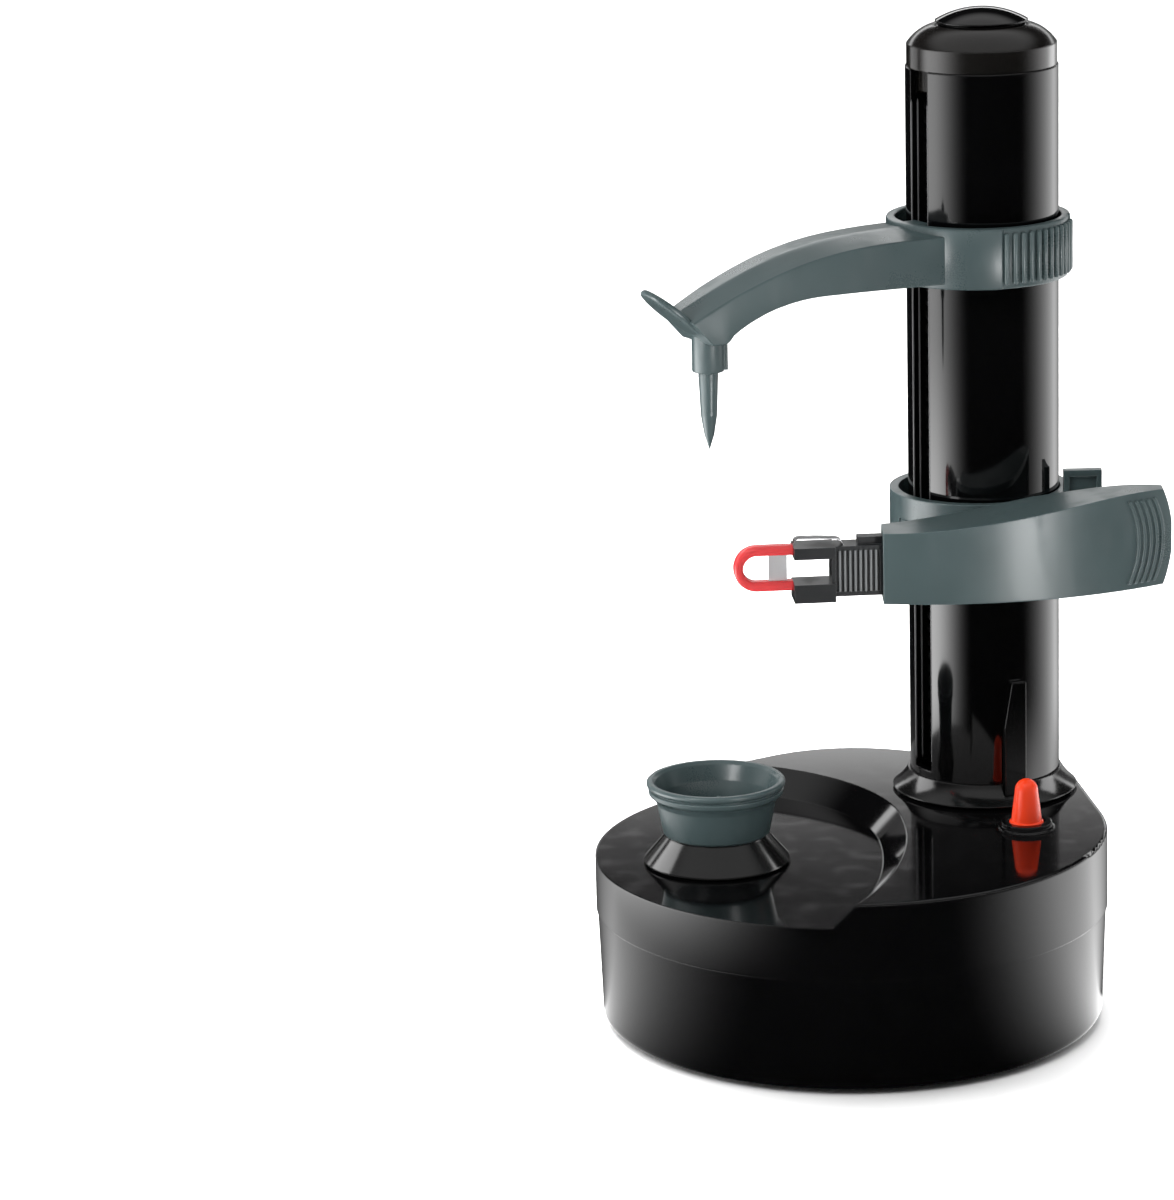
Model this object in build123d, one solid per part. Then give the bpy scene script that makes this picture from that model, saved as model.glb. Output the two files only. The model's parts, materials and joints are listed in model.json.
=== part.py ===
from build123d import *
import math
import os

# Electric tower peeler. Millimetres, +Z up.
# +X points from the food axis to the tower axis.
# The drawing is laid out about the middle of the round base. At the end it is
# moved so that the origin lies on the table under the middle of the whole object.

# Driving dimensions: plan of the base, whose layout follows its radius
base_r = 72.5
food_x = -0.51 * base_r
tower_x = 0.745 * base_r
axis_y = 0.1655 * base_r
back_r = 0.55 * base_r
back_reach = 1.1 * base_r
back_angle = 57.0

# Driving dimensions: levels of the base
foot_gap = 1.5
seam_z = 33.5
dish_z = 48.6
deck_z = 55.5
base_wall = 2.2
base_floor = 2.4
deck_t = 2.2
bottom_round = 2.5
rim_round = 0.9
shell_inset = 0.4
shell_draft = 1.1
lip_h = 2.5

# Driving dimensions: step between dish and deck
step_run = 6.5
step_cx = -0.586 * base_r
step_cy = 0.3766 * base_r
step_r = 0.8138 * base_r
step_turns = (62.0, -25.0)

# Driving dimensions: tower
tower_r = 21.5
tower_wall = 2.2
tower_top = 265.9
slot_w = 8.2
slot_lift = 8.5
slot_lip = 3.4
slot_lip_t = 1.2
foot_r = tower_r + 6.0
collar_r = tower_r + 5.1
collar_h = 6.3
cap_r = tower_r - 0.4
cap_band = 6.3
cap_shoulder = 5.2
plug_r = 13.0
plug_h = 5.5

# Driving dimensions: drive
screw_offset = 10.0
screw_r = 3.4
journal_r = 2.5
spindle_r = 3.0
axle_r = 1.5
plate_z = 28.5
plate_t = 2.0
plate_inset = 0.193 * base_r
gear_w = 4.0
level_gap = 1.0
backlash = 0.3
motor_r = 0.1407 * base_r
motor_len = 21.0
motor_rod_r = 1.0
bush_drop = 4.9
bush_t = 2.5

# Tooth counts
teeth = {
    "spindle": 56,
    "idler": 26,
    "screw": 54,
    "low_pinion": 14,
    "low_wheel": 40,
    "mid_pinion": 12,
    "mid_wheel": 48,
    "motor": 12,
}

# Driving dimensions: food cup
cup_rim_r = 19.5
cup_body_r = 16.8
cup_foot_r = 15.0
cup_z = dish_z + 8.4
cup_h = 15.6
cup_wall = 1.6
cone_r = 20.6
cone_lift = 0.5

# Driving dimensions: carriage and lever
front_turn = -30.0
carriage_bottom = 119.0
carriage_h = 26.0
hoop_wall = 2.6
hoop_shift = 1.2
lever_lift = 5.0
lever_wall = 2.4
lever_left = 31.5
lever_right = 50.0
lever_deep = 14.0
rib_rise = 0.6
rib_w = 0.9
bow_r = 105.0
bow_x = -11.0
pivot_x = -5.0
pivot_r = 1.5
hub_r = 4.0
lug_t = 3.0
nut_w = 6.4
nut_h = 12.0
nut_travel = 3.0
tab_w = 10.8
tab_t = 3.0
tab_rise = 6.5

# Driving dimensions: blade
holder_turn = 184.0
block_len = 14.5
block_h = 14.2
block_t = 8.0
fork_len = 10.5
fork_deep = 10.0
guide_h = 12.7
guide_wall = 2.6
guide_len = 16.5
guide_t = 5.0
guide_lift = 0.9
blade_w = 5.2
blade_t = 0.6

# Driving dimensions: top arm
arm_ring_bottom = 206.5
arm_ring_h = 17.2
arm_shift = 1.5
arm_root_w = 34.0
arm_tip_w = 10.4
arm_round = 0.9
arm_drop = 8.3
boss_r = 4.5
boss_len = 8.8
pin_r = 2.8
pin_len = 22.0
leaf_len = 11.7
leaf_w = 7.0

# Driving dimensions: switch
button_x = 0.552 * base_r
button_y = -0.407 * base_r
button_r = 3.8
button_rim_r = 4.9
button_h = 13.8
stem_r = 2.4
well_r = 7.2
well_lift = 2.0
switch_travel = 3.0
finger_angle = -102.0
finger_w = 6.5
finger_t = 1.8
finger_h = 36.5

# Clearances
fit = 0.05
slip = 0.35
gap = 0.3

food = Vector(food_x, axis_y)
tower = Vector(tower_x, axis_y)
screw = Vector(tower_x - screw_offset, axis_y)
middle = Vector(0, 0)
LOW = (Align.CENTER, Align.CENTER, Align.MIN)
parts = {}


def cyl(spot, z0, z1, r):
    """Upright cylinder from z0 to z1 on a plan point."""
    return Pos(spot.X, spot.Y, z0) * Cylinder(r, z1 - z0, align=LOW)


def brick(x0, x1, y0, y1, z0, z1):
    """Box between two corners."""
    size = Box(x1 - x0, y1 - y0, z1 - z0)
    return Pos((x0 + x1) / 2, (y0 + y1) / 2, (z0 + z1) / 2) * size


def polar(spot, r, angle):
    """Plan point at a distance and an angle in degrees from another."""
    a = math.radians(angle)
    return Vector(spot.X + r * math.cos(a), spot.Y + r * math.sin(a))


def share(x, y):
    """Plan point given as shares of the base's radius."""
    return Vector(x * base_r, y * base_r)


def turned(points, spot):
    """Solid of revolution about an upright axis, from radius and height pairs."""
    face = make_face(Polyline(*[(r, 0, z) for r, z in points], close=True))
    return Pos(spot.X, spot.Y, 0) * revolve(face, Axis.Z)


def spun(edges, spot):
    """Solid of revolution about an upright axis, from the edges of its section."""
    return Pos(spot.X, spot.Y, 0) * revolve(Plane.XZ * make_face(edges), Axis.Z)


def dome(r, z0, z1):
    """Arc of a round dome, from its rim up to its top on the axis."""
    h = z1 - z0
    big = (r * r + h * h) / (2 * h)
    return ThreePointArc((r, z0), (r / 2, z1 - big + math.sqrt(big * big - r * r / 4)), (0, z1))


def only(shape):
    """Largest solid of a shape."""
    return shape.solids().sort_by(SortBy.VOLUME)[-1]


# Outline of the base: the round body, the tower's foot and the back, joined by tangents
rounds = [
    (middle, base_r),
    (tower, foot_r),
    (polar(middle, back_reach - back_r, back_angle), back_r),
]


def facing(k):
    """Angle that the tangent from one round of the outline to the next faces."""
    a, ra = rounds[k % 3]
    b, rb = rounds[(k + 1) % 3]
    line = math.degrees(math.atan2(b.Y - a.Y, b.X - a.X))
    return line - math.degrees(math.acos((ra - rb) / (b - a).length))


def outline(inset, z):
    """Face of the base's plan, moved in by an inset."""
    edges = []
    for k in range(3):
        spot, r = rounds[k]
        ahead, r_ahead = rounds[(k + 1) % 3]
        start = facing(k - 1)
        end = facing(k)
        end += 360 * math.ceil((start - end) / 360)
        p = polar(spot, r - inset, start)
        q = polar(spot, r - inset, end)
        edges.append(ThreePointArc(p, polar(spot, r - inset, (start + end) / 2), q))
        edges.append(Line(q, polar(ahead, r_ahead - inset, end)))
    return Pos(0, 0, z) * make_face(edges)


def prism(inset, z0, z1):
    """Upright block with the base's plan."""
    return extrude(outline(inset, z0), z1 - z0, dir=(0, 0, 1))


def dish_face(grow, z):
    """Plan of the dish, grown outwards past the base on its open side."""
    c = Vector(step_cx, step_cy)
    r = step_r + grow
    back, front_end = step_turns
    a = polar(c, r, back)
    b = polar(c, r, front_end)
    away = polar(middle, 1, front_end - 90)
    e = share(-0.69, -0.855) + Vector(0.7 * grow, -0.7 * grow)
    far = 2 * base_r
    edges = [
        ThreePointArc(a, polar(c, r, (back + front_end) / 2), b),
        TangentArc(b, e, tangent=away),
        Polyline(e, (-far, e.Y), (-far, far), (a.X, far), a),
    ]
    return Pos(0, 0, z) * make_face(edges)


def dish(shift, drop):
    """Solid that clears the dish, from its floor to above the deck."""
    slope = step_run / (deck_z - dish_z)
    top = deck_z + 1
    low = dish_z - drop
    faces = [dish_face(shift, low), dish_face(shift + slope * (top - low), top)]
    return loft(faces, ruled=True)


def rounded_top(block):
    """Block with its top edge rounded."""
    return fillet(block.faces().sort_by(Axis.Z)[-1].edges(), rim_round)


# Gears: involute teeth with stub height and a backlash
pressure = math.radians(25)
ease = 0.05
gear_run = tower_x - screw_offset - food_x - ease
mod_main = 2 * gear_run / (teeth["spindle"] + 2 * teeth["idler"] + teeth["screw"])
mod_fast = 0.8 * mod_main


def gear(count, module, z0, spot, turn, bore):
    """Spur gear with one tooth pointing at the angle turn."""
    r = count * module / 2
    base = r * math.cos(pressure)
    tip = r + 0.8 * module
    root = r - 1.05 * module
    half = math.pi / (2 * count) - backlash / (4 * r)

    def flank(rad):
        """Half angle of a tooth at a radius."""
        a = math.acos(min(1, base / rad))
        return half + math.tan(pressure) - pressure - (math.tan(a) - a)

    radii = [max(base, root + 0.05), r, tip]
    points = []
    for k in range(count):
        mid = math.radians(turn) + 2 * math.pi * k / count
        side = [(root, flank(radii[0]))] + [(rad, flank(rad)) for rad in radii]
        points += [polar(middle, rad, math.degrees(mid - f)) for rad, f in side]
        points += [polar(middle, rad, math.degrees(mid + f)) for rad, f in side[::-1]]
    wheel = extrude(make_face(Polyline(*points, close=True)), gear_w)
    return Pos(spot.X, spot.Y, z0) * wheel - cyl(spot, z0 - 1, z0 + gear_w + 1, bore)


def apart(one, other, module):
    """Distance between the axes of two gears."""
    return module * (teeth[one] + teeth[other]) / 2


def mesh_turn(from_spot, from_turn, from_gear, spot, to_gear):
    """Turn of a gear that puts a gap where the driving gear has a tooth."""
    line = math.degrees(math.atan2(spot.Y - from_spot.Y, spot.X - from_spot.X))
    phase = ((line - from_turn) * teeth[from_gear] / 360) % 1
    return line + 180 + (phase + 0.5) * 360 / teeth[to_gear]


low_z = plate_z + plate_t + 0.5
run_z = low_z + gear_w + level_gap
high_z = run_z + gear_w + level_gap
idler = Vector(food_x + apart("spindle", "idler", mod_main) + ease / 2, axis_y)
low_shaft = polar(food, apart("spindle", "low_pinion", mod_main) + ease, 45)
mid_shaft = polar(low_shaft, apart("low_wheel", "mid_pinion", mod_main) + ease, 15)
motor = polar(mid_shaft, apart("mid_wheel", "motor", mod_fast) + ease, -28)

turn_idler = mesh_turn(food, 0, "spindle", idler, "idler")
turn_screw = mesh_turn(idler, turn_idler, "idler", screw, "screw")
turn_low = mesh_turn(food, 0, "spindle", low_shaft, "low_pinion")
turn_mid = mesh_turn(low_shaft, turn_low, "low_wheel", mid_shaft, "mid_pinion")
turn_motor = mesh_turn(mid_shaft, turn_mid, "mid_wheel", motor, "motor")

# Places of bosses, posts and feet
cover_bosses = [polar(middle, 0.8414 * base_r, a) for a in (130, 218, 312)]
cover_bosses.append(polar(middle, 0.8731 * base_r, 44.7))
plate_posts = [share(-0.69, -0.014), share(0, 0.021), share(0.731, -0.041), share(-0.22, 0.731)]
feet = [polar(middle, 0.745 * base_r, a) for a in (25, 155, 210, 330)]
foot_pad_r = 6.0
boss_wide = 3.6
bolt_r = 1.3
head_r = 2.4
floor_z = foot_gap + base_floor

# Battery bay for four cells side by side, open at the bottom
cell_d = 0.2 * base_r
cell_len = 0.6966 * base_r
bay_w = 4 * cell_d + 1
bay_len = cell_len + 3
bay_h = cell_d + 1
bay_y = -0.4276 * base_r
bay_wall = 1.4
door_lip = 1.5
leaf_t = 0.6


def bay(grow, z0, z1):
    """Block with the plan of the battery bay."""
    w = bay_w / 2 + grow
    n = bay_len / 2 + grow
    return brick(-w, w, bay_y - n, bay_y + n, z0, z1)


# Switch places: a button, a rocker under the deck and the finger that the carriage meets
button = Vector(button_x, button_y)
finger_mid = polar(tower, tower_r + gap + finger_t / 2, finger_angle)
rocker_mid = (button + finger_mid) * 0.5
rocker_arm = (finger_mid - button).length / 2
rocker_turn = math.degrees(math.atan2(finger_mid.Y - button.Y, finger_mid.X - button.X))
rocker_z = deck_z - deck_t - 10.7
rocker_t = 3.0
rocker_w = 4.5
rocker_hub = 2.6
ear_t = 2.8
switch_post = polar(button, 3.0, rocker_turn + 180)
micro_h = 7.0
micro_z = rocker_z - rocker_t / 2 - switch_travel - micro_h - 2

# Power inlet places
jack_r = 4.6
jack_bore = 2.75
jack_len = 10.5
jack_z = 18.0
jack_y = base_r - 6.5
jack_deep = 13.0

# Seat of the tower in the cover
ledge = 2.0
tube_z = deck_z - deck_t - 3
seat_z = tube_z - ledge


def finger_slot(room, z0, z1):
    """Upright slot for the stop finger, at the tower's face."""
    inner = tower_r + gap - room
    half = finger_w / 2 + room
    bar = brick(inner, inner + finger_t + 2 * room, -half, half, z0, z1)
    return Pos(tower.X, tower.Y, 0) * Rot(0, 0, finger_angle) * bar


def make_shell():
    """Lower shell with its bosses, feet, screws and power inlet."""
    foot_h = foot_gap + 0.8
    outer = loft(
        [outline(shell_inset + shell_draft, foot_gap), outline(shell_inset, seam_z)],
        ruled=True,
    )
    outer = fillet(outer.faces().sort_by(Axis.Z)[0].edges(), bottom_round)
    inset = shell_inset + shell_draft + base_wall
    lip = prism(base_wall + fit, seam_z - 4, seam_z + lip_h)
    lip -= prism(inset, seam_z - 5, seam_z + lip_h + 1)
    shell = outer - prism(inset, floor_z, seam_z + 1) + lip
    for spot in cover_bosses:
        shell += cyl(spot, floor_z - 1, seam_z, boss_wide)
    for spot in plate_posts:
        shell += cyl(spot, floor_z - 1, plate_z, boss_wide)
        shell -= cyl(spot, plate_z - 10, plate_z + 1, bolt_r)
    for spot in cover_bosses:
        shell -= cyl(spot, foot_gap - 1, seam_z + 1, bolt_r + 0.2)
        shell -= cyl(spot, foot_gap - 1, floor_z + 4, head_r + slip)
    for spot in feet:
        shell -= cyl(spot, foot_gap - 1, foot_h, foot_pad_r + fit)
    shell -= bay(-door_lip, foot_gap - 1, floor_z + 1)
    shell -= bay(gap, foot_gap - 1, foot_gap + 1.4)
    shell += cyl(switch_post, floor_z - 1, micro_z, boss_wide)
    shell -= Pos(0, base_r, jack_z) * Rot(90, 0, 0) * Cylinder(jack_r + fit, 24)
    low = jack_z - jack_r - 1.5
    shell += brick(-5, 5, jack_y - 11.5, jack_y - 7.5, floor_z - 1, low)
    parts["base_shell"] = only(shell)
    parts["rubber_feet"] = Compound([cyl(s, 0, foot_h, foot_pad_r) for s in feet])

    bolts = []
    for spot in cover_bosses:
        head = cyl(spot, floor_z + 2, floor_z + 4, head_r)
        bolts.append(head + cyl(spot, floor_z + 4, seam_z + 7, bolt_r - fit))
    parts["cover_screws"] = Compound(bolts)

    facing_out = Rot(90, 0, 0)
    jack = Pos(0, jack_y, jack_z) * facing_out * Cylinder(jack_r, jack_len)
    jack += brick(-5, 5, jack_y - jack_deep, jack_y - 4, low, jack_z + jack_r)
    jack -= Pos(0, jack_y + 2, jack_z) * facing_out * Cylinder(jack_bore, jack_len - 1.5)
    jack += Pos(0, jack_y, jack_z) * facing_out * Cylinder(1, jack_len - 1.5)
    parts["power_socket"] = only(jack)


def make_cover():
    """Upper cover with dish, step, deck, switch well and tower seat."""
    body = rounded_top(prism(0, seam_z, dish_z))
    high = rounded_top(prism(0, seam_z, deck_z)) - dish(0, 0)
    room = prism(base_wall, seam_z - 1, dish_z - deck_t)
    room += prism(base_wall, seam_z - 1, deck_z - deck_t) - dish(deck_t, deck_t)
    cover = body + high - room
    socket = cyl(tower, seat_z, deck_z - deck_t, tower_r + fit + 2)
    socket -= cyl(tower, tube_z, deck_z, tower_r + fit)
    socket -= cyl(tower, seat_z - 1, deck_z, tower_r - tower_wall - 0.5)
    cover += socket
    for spot in cover_bosses:
        ceiling = (dish_z if spot.X < 0.1 * base_r else deck_z) - deck_t / 2
        cover += cyl(spot, seam_z, ceiling, boss_wide)
        cover -= cyl(spot, seam_z - 1, seam_z + 8, bolt_r)
    cover += cyl(food, dish_z - deck_t - 1.2, dish_z - 0.5, spindle_r + 6)
    cover -= cyl(tower, tube_z, deck_z + 1, tower_r + fit)
    cover -= cyl(food, seam_z, dish_z + 1, spindle_r + 3)
    well_z = deck_z - 4
    cover += cyl(button, well_z - 1, deck_z + well_lift, well_r)
    cover -= cyl(button, well_z, deck_z + well_lift + 1, button_rim_r + gap)
    cover -= cyl(button, seam_z, deck_z, stem_r + fit)
    cover -= finger_slot(slip, seam_z, deck_z + 1)
    place = Pos(rocker_mid.X, rocker_mid.Y, rocker_z) * Rot(0, 0, rocker_turn)
    for side in (-1, 1):
        y = side * (rocker_w / 2 + gap + ear_t / 2)
        ear = brick(-3, 3, y - ear_t / 2, y + ear_t / 2, -2.2, deck_z - deck_t - rocker_z)
        cover += place * (ear - Pos(0, y, 0) * Rot(90, 0, 0) * Cylinder(axle_r + fit, 4))
    parts["base_cover"] = only(cover)


def make_battery():
    """Battery bay, its contacts and its door."""
    tray = bay(bay_wall, floor_z, floor_z + bay_h + bay_wall)
    tray -= bay(0, floor_z - 1, floor_z + bay_h)
    reach = 0.28 * bay_len
    for k in (-1, 0, 1):
        x = k * cell_d
        tray += brick(x - 0.5, x + 0.5, bay_y - reach, bay_y + reach, floor_z + 10, floor_z + bay_h)
    parts["battery_bay"] = only(tray)
    leaves = []
    for k in range(4):
        x = (k - 1.5) * cell_d
        for end in (-1, 1):
            y = bay_y + end * (bay_len / 2 - leaf_t / 2 - fit)
            leaf = brick(x - 5, x + 5, y - leaf_t / 2, y + leaf_t / 2, floor_z + 1, floor_z + 13)
            leaves.append(leaf)
    parts["battery_contacts"] = Compound(leaves)
    door = bay(0, foot_gap, foot_gap + 1.2)
    door += bay(-door_lip - gap, foot_gap + 1, floor_z)
    grip = bay_y + bay_len / 2 - 10
    door -= brick(-9, 9, grip, grip + 5, foot_gap - 1, foot_gap + 0.6)
    parts["battery_door"] = only(door)


def make_switch():
    """Red button, stop finger, rocker and small switch."""
    foot = deck_z + 0.5
    stem_z = rocker_z + rocker_t / 2 + gap
    r = button_r
    h = foot + button_h
    neck = 0.92 * r
    edges = [
        Line((0, foot), (button_rim_r, foot)),
        Line((button_rim_r, foot), (button_rim_r, foot + 1.2)),
        Line((button_rim_r, foot + 1.2), (r, foot + 3.6)),
        Line((r, foot + 3.6), (neck, h - r)),
        dome(neck, h - r, h),
        Line((0, h), (0, foot)),
    ]
    cap = spun(edges, button)
    stem = turned(
        [(0, stem_z), (0.7, stem_z), (stem_r, stem_z + 2.5), (stem_r, foot + 0.5), (0, foot + 0.5)],
        button,
    )
    parts["switch_button"] = only(cap + stem)

    finger_top = deck_z + finger_h
    tall = finger_slot(0, stem_z + gap, finger_top)
    left = -finger_w / 2
    wedge = Polyline(
        (left - 1, finger_top - 13),
        (left, finger_top - 13),
        (left + 2.4, finger_top + 1),
        (left - 1, finger_top + 1),
        close=True,
    )
    cut = extrude(Plane.YZ * make_face(wedge), 2 * tower_r)
    edge = Pos(tower.X, tower.Y, 0) * Rot(0, 0, finger_angle)
    parts["stop_finger"] = only(tall - edge * cut)

    place = Pos(rocker_mid.X, rocker_mid.Y, rocker_z) * Rot(0, 0, rocker_turn)
    across = Rot(90, 0, 0)
    bar = Box(2 * rocker_arm + 3, rocker_w, rocker_t) + across * Cylinder(rocker_hub, rocker_w)
    bar -= across * Cylinder(axle_r + fit, 2 * rocker_w)
    parts["switch_rocker"] = only(place * bar)
    parts["rocker_pin"] = only(place * across * Cylinder(axle_r, rocker_w + 2 * (gap + ear_t)))

    spot = Pos(switch_post.X, switch_post.Y, 0) * Rot(0, 0, rocker_turn)
    body = spot * brick(-5, 6.5, -3, 3, micro_z, micro_z + micro_h)
    tip = spot * Pos(3, 0, micro_z + micro_h) * Cylinder(1.1, 1.6, align=LOW)
    parts["micro_switch"] = only(body + tip)


def make_tower():
    """Slotted tube, collar, cap, plug and the bush at the screw's top."""
    inner = tower_r - tower_wall
    tube = cyl(tower, tube_z, tower_top, tower_r) - cyl(tower, tube_z - 1, tower_top + 1, inner)
    half = slot_w / 2
    tube -= brick(
        tower_x - tower_r - 1, tower_x - inner / 2, axis_y - half, axis_y + half,
        deck_z + slot_lift, tower_top + 1,
    )
    edge = math.sqrt(inner ** 2 - half ** 2)
    for side in (-1, 1):
        y = sorted((axis_y + side * half, axis_y + side * (half + slot_lip_t)))
        lip = brick(tower_x - edge - 0.4, tower_x - edge + slot_lip, *y, deck_z + slot_lift, tower_top - 6.5)
        tube += lip
    parts["tower_tube"] = only(tube)

    bore = tower_r + fit
    top = deck_z + collar_h
    edges = [
        Line((bore, deck_z), (collar_r - 0.9, deck_z)),
        Line((collar_r - 0.9, deck_z), (collar_r, deck_z + 0.9)),
        ThreePointArc((collar_r, deck_z + 0.9), (bore + 2.6, deck_z + 3.3), (bore + 0.6, top)),
        Line((bore + 0.6, top), (bore, top)),
        Line((bore, top), (bore, deck_z)),
    ]
    parts["tower_collar"] = only(spun(edges, tower) - finger_slot(slip, deck_z - 1, top + 1))

    z0 = tower_top
    z1 = z0 + cap_band
    z2 = z1 + cap_shoulder
    spigot = inner - fit
    wall = spigot - 1.8
    seat = z2 - 0.8
    edges = [
        Line((wall, z0 - 6), (spigot, z0 - 6)),
        Line((spigot, z0 - 6), (spigot, z0)),
        Line((spigot, z0), (cap_r, z0)),
        Line((cap_r, z0), (cap_r, z1)),
        ThreePointArc((cap_r, z1), (cap_r - 2.3, z1 + 2.6), (plug_r + 0.9, z2)),
        Line((plug_r + 0.9, z2), (plug_r + 0.1, z2)),
        Line((plug_r + 0.1, z2), (plug_r - 0.5, seat)),
        Line((plug_r - 0.5, seat), (0, seat)),
        Line((0, seat), (0, seat - 2)),
        Line((0, seat - 2), (wall, z2 - 6)),
        Line((wall, z2 - 6), (wall, z0 - 6)),
    ]
    parts["tower_cap"] = only(spun(edges, tower))

    top = seat + plug_h
    edges = [
        Line((0, seat), (plug_r - 0.8, seat)),
        Line((plug_r - 0.8, seat), (plug_r - 0.8, seat + 1.3)),
        Line((plug_r - 0.8, seat + 1.3), (plug_r, seat + 1.6)),
        Line((plug_r, seat + 1.6), (plug_r, seat + 2.0)),
        dome(plug_r, seat + 2.0, top),
        Line((0, top), (0, seat)),
    ]
    parts["cap_plug"] = only(spun(edges, tower))

    bush_z = tower_top - bush_drop
    bush = cyl(tower, bush_z + 1, bush_z + 1 + bush_t, wall - fit)
    bush += cyl(screw, bush_z - 1, bush_z + 1, journal_r + 2)
    parts["screw_top_bush"] = only(bush - cyl(screw, bush_z - 5, bush_z + 4, journal_r + fit))


def make_plate():
    """Gear plate with its screws, axles and the motor."""
    top = plate_z + plate_t
    plate = prism(plate_inset, plate_z, top)
    plate -= brick(-base_r, 2 * base_r, -base_r, -0.11 * base_r, plate_z - 1, top + 1)
    for spot, r in ((food, spindle_r), (screw, journal_r)):
        plate += cyl(spot, plate_z - 5, plate_z, r + 2.5)
        plate -= cyl(spot, plate_z - 3.5, top + 1, r + fit)
    for spot in (idler, low_shaft, mid_shaft):
        plate += cyl(spot, plate_z - 3, plate_z, axle_r + 2)
        plate -= cyl(spot, plate_z - 4, top + 1, axle_r + fit)
    for spot in plate_posts:
        plate -= cyl(spot, plate_z - 1, top + 1, bolt_r + 0.2)
    mounts = [polar(motor, 0.59 * motor_r, 90), polar(motor, 0.59 * motor_r, -90)]
    nose_r = 3 * motor_rod_r
    plate += cyl(motor, plate_z, top, motor_r)
    plate -= cyl(motor, plate_z - 1, top + 1, nose_r + 0.1)
    for spot in mounts:
        plate -= cyl(spot, plate_z - 1, top + 1, motor_rod_r + 0.1)
    for spot in cover_bosses:
        plate -= cyl(spot, plate_z - 1, top + 1, boss_wide + gap)
    parts["gear_plate"] = only(plate)

    heads = []
    for spot in plate_posts:
        head = cyl(spot, top, top + 1.6, head_r)
        heads.append(head + cyl(spot, plate_z - 8, top, bolt_r - fit))
    parts["plate_screws"] = Compound(heads)
    pins = []
    for spot, z1 in ((idler, run_z), (low_shaft, high_z), (mid_shaft, high_z)):
        pins.append(cyl(spot, plate_z - 3, z1 + gear_w + 0.6, axle_r))
    parts["gear_axles"] = Compound(pins)

    low = plate_z - motor_len
    can = cyl(motor, low, plate_z, motor_r)
    for side in (-1, 1):
        x = motor.X + side * (motor_r + 1.5)
        can -= Pos(x, motor.Y, plate_z - motor_len / 2) * Box(6, 2 * motor_r, motor_len + 2)
    can += cyl(motor, plate_z, plate_z + 1.4, nose_r)
    can -= cyl(motor, low - 1, plate_z + 2, motor_rod_r + fit)
    for spot in mounts:
        can -= cyl(spot, plate_z - 3, plate_z + 1, motor_rod_r)
    parts["motor_can"] = only(can)
    tail = cyl(motor, low - 2.6, low, motor_r - 2)
    parts["motor_end_cap"] = only(tail - cyl(motor, low - 1, plate_z, motor_rod_r + fit))
    small = []
    for spot in mounts:
        head = cyl(spot, top, top + 0.4, 1.9 * motor_rod_r)
        small.append(head + cyl(spot, plate_z - 2.5, top, motor_rod_r - fit))
    parts["motor_screws"] = Compound(small)
    parts["motor_shaft"] = only(cyl(motor, low - 0.8, low_z + gear_w, motor_rod_r))


def sleeve(spot, z0, z1):
    """Hub between the two wheels of a stepped gear, or under a gear."""
    return cyl(spot, z0, z1, axle_r + 2.1) - cyl(spot, z0 - 1, z1 + 1, axle_r + fit)


def make_drive():
    """Gears, spindle and feed screw."""
    bore = axle_r + fit
    parts["motor_pinion"] = only(
        gear(teeth["motor"], mod_fast, low_z, motor, turn_motor, motor_rod_r)
    )
    wheel = gear(teeth["mid_wheel"], mod_fast, low_z, mid_shaft, turn_mid, bore)
    pinion = gear(teeth["mid_pinion"], mod_main, high_z, mid_shaft, turn_mid, bore)
    parts["mid_gear"] = only(wheel + sleeve(mid_shaft, low_z, high_z) + pinion)
    wheel = gear(teeth["low_wheel"], mod_main, high_z, low_shaft, turn_low, bore)
    pinion = gear(teeth["low_pinion"], mod_main, run_z, low_shaft, turn_low, bore)
    parts["low_gear"] = only(wheel + sleeve(low_shaft, low_z - 0.4, high_z) + pinion)
    wheel = gear(teeth["idler"], mod_main, run_z, idler, turn_idler, bore)
    parts["idler_gear"] = only(wheel + sleeve(idler, low_z - 0.4, run_z))
    parts["spindle_gear"] = only(gear(teeth["spindle"], mod_main, run_z, food, 0, spindle_r))
    parts["screw_gear"] = only(
        gear(teeth["screw"], mod_main, run_z, screw, turn_screw, journal_r)
    )

    parts["spindle_shaft"] = only(cyl(food, plate_z - 3.5, cup_z + 2, spindle_r))
    bush = cyl(food, dish_z - 6, dish_z, spindle_r + 3 - fit)
    parts["spindle_bush"] = only(bush - cyl(food, dish_z - 7, dish_z + 1, spindle_r + fit))

    shoulder = tower_top - bush_drop - 1.4
    rod = cyl(screw, plate_z - 3.5, run_z + gear_w, journal_r)
    rod += cyl(screw, run_z + gear_w, shoulder, screw_r)
    rod += cyl(screw, shoulder, shoulder + 4.4, journal_r)
    parts["lead_screw"] = only(rod)


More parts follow.
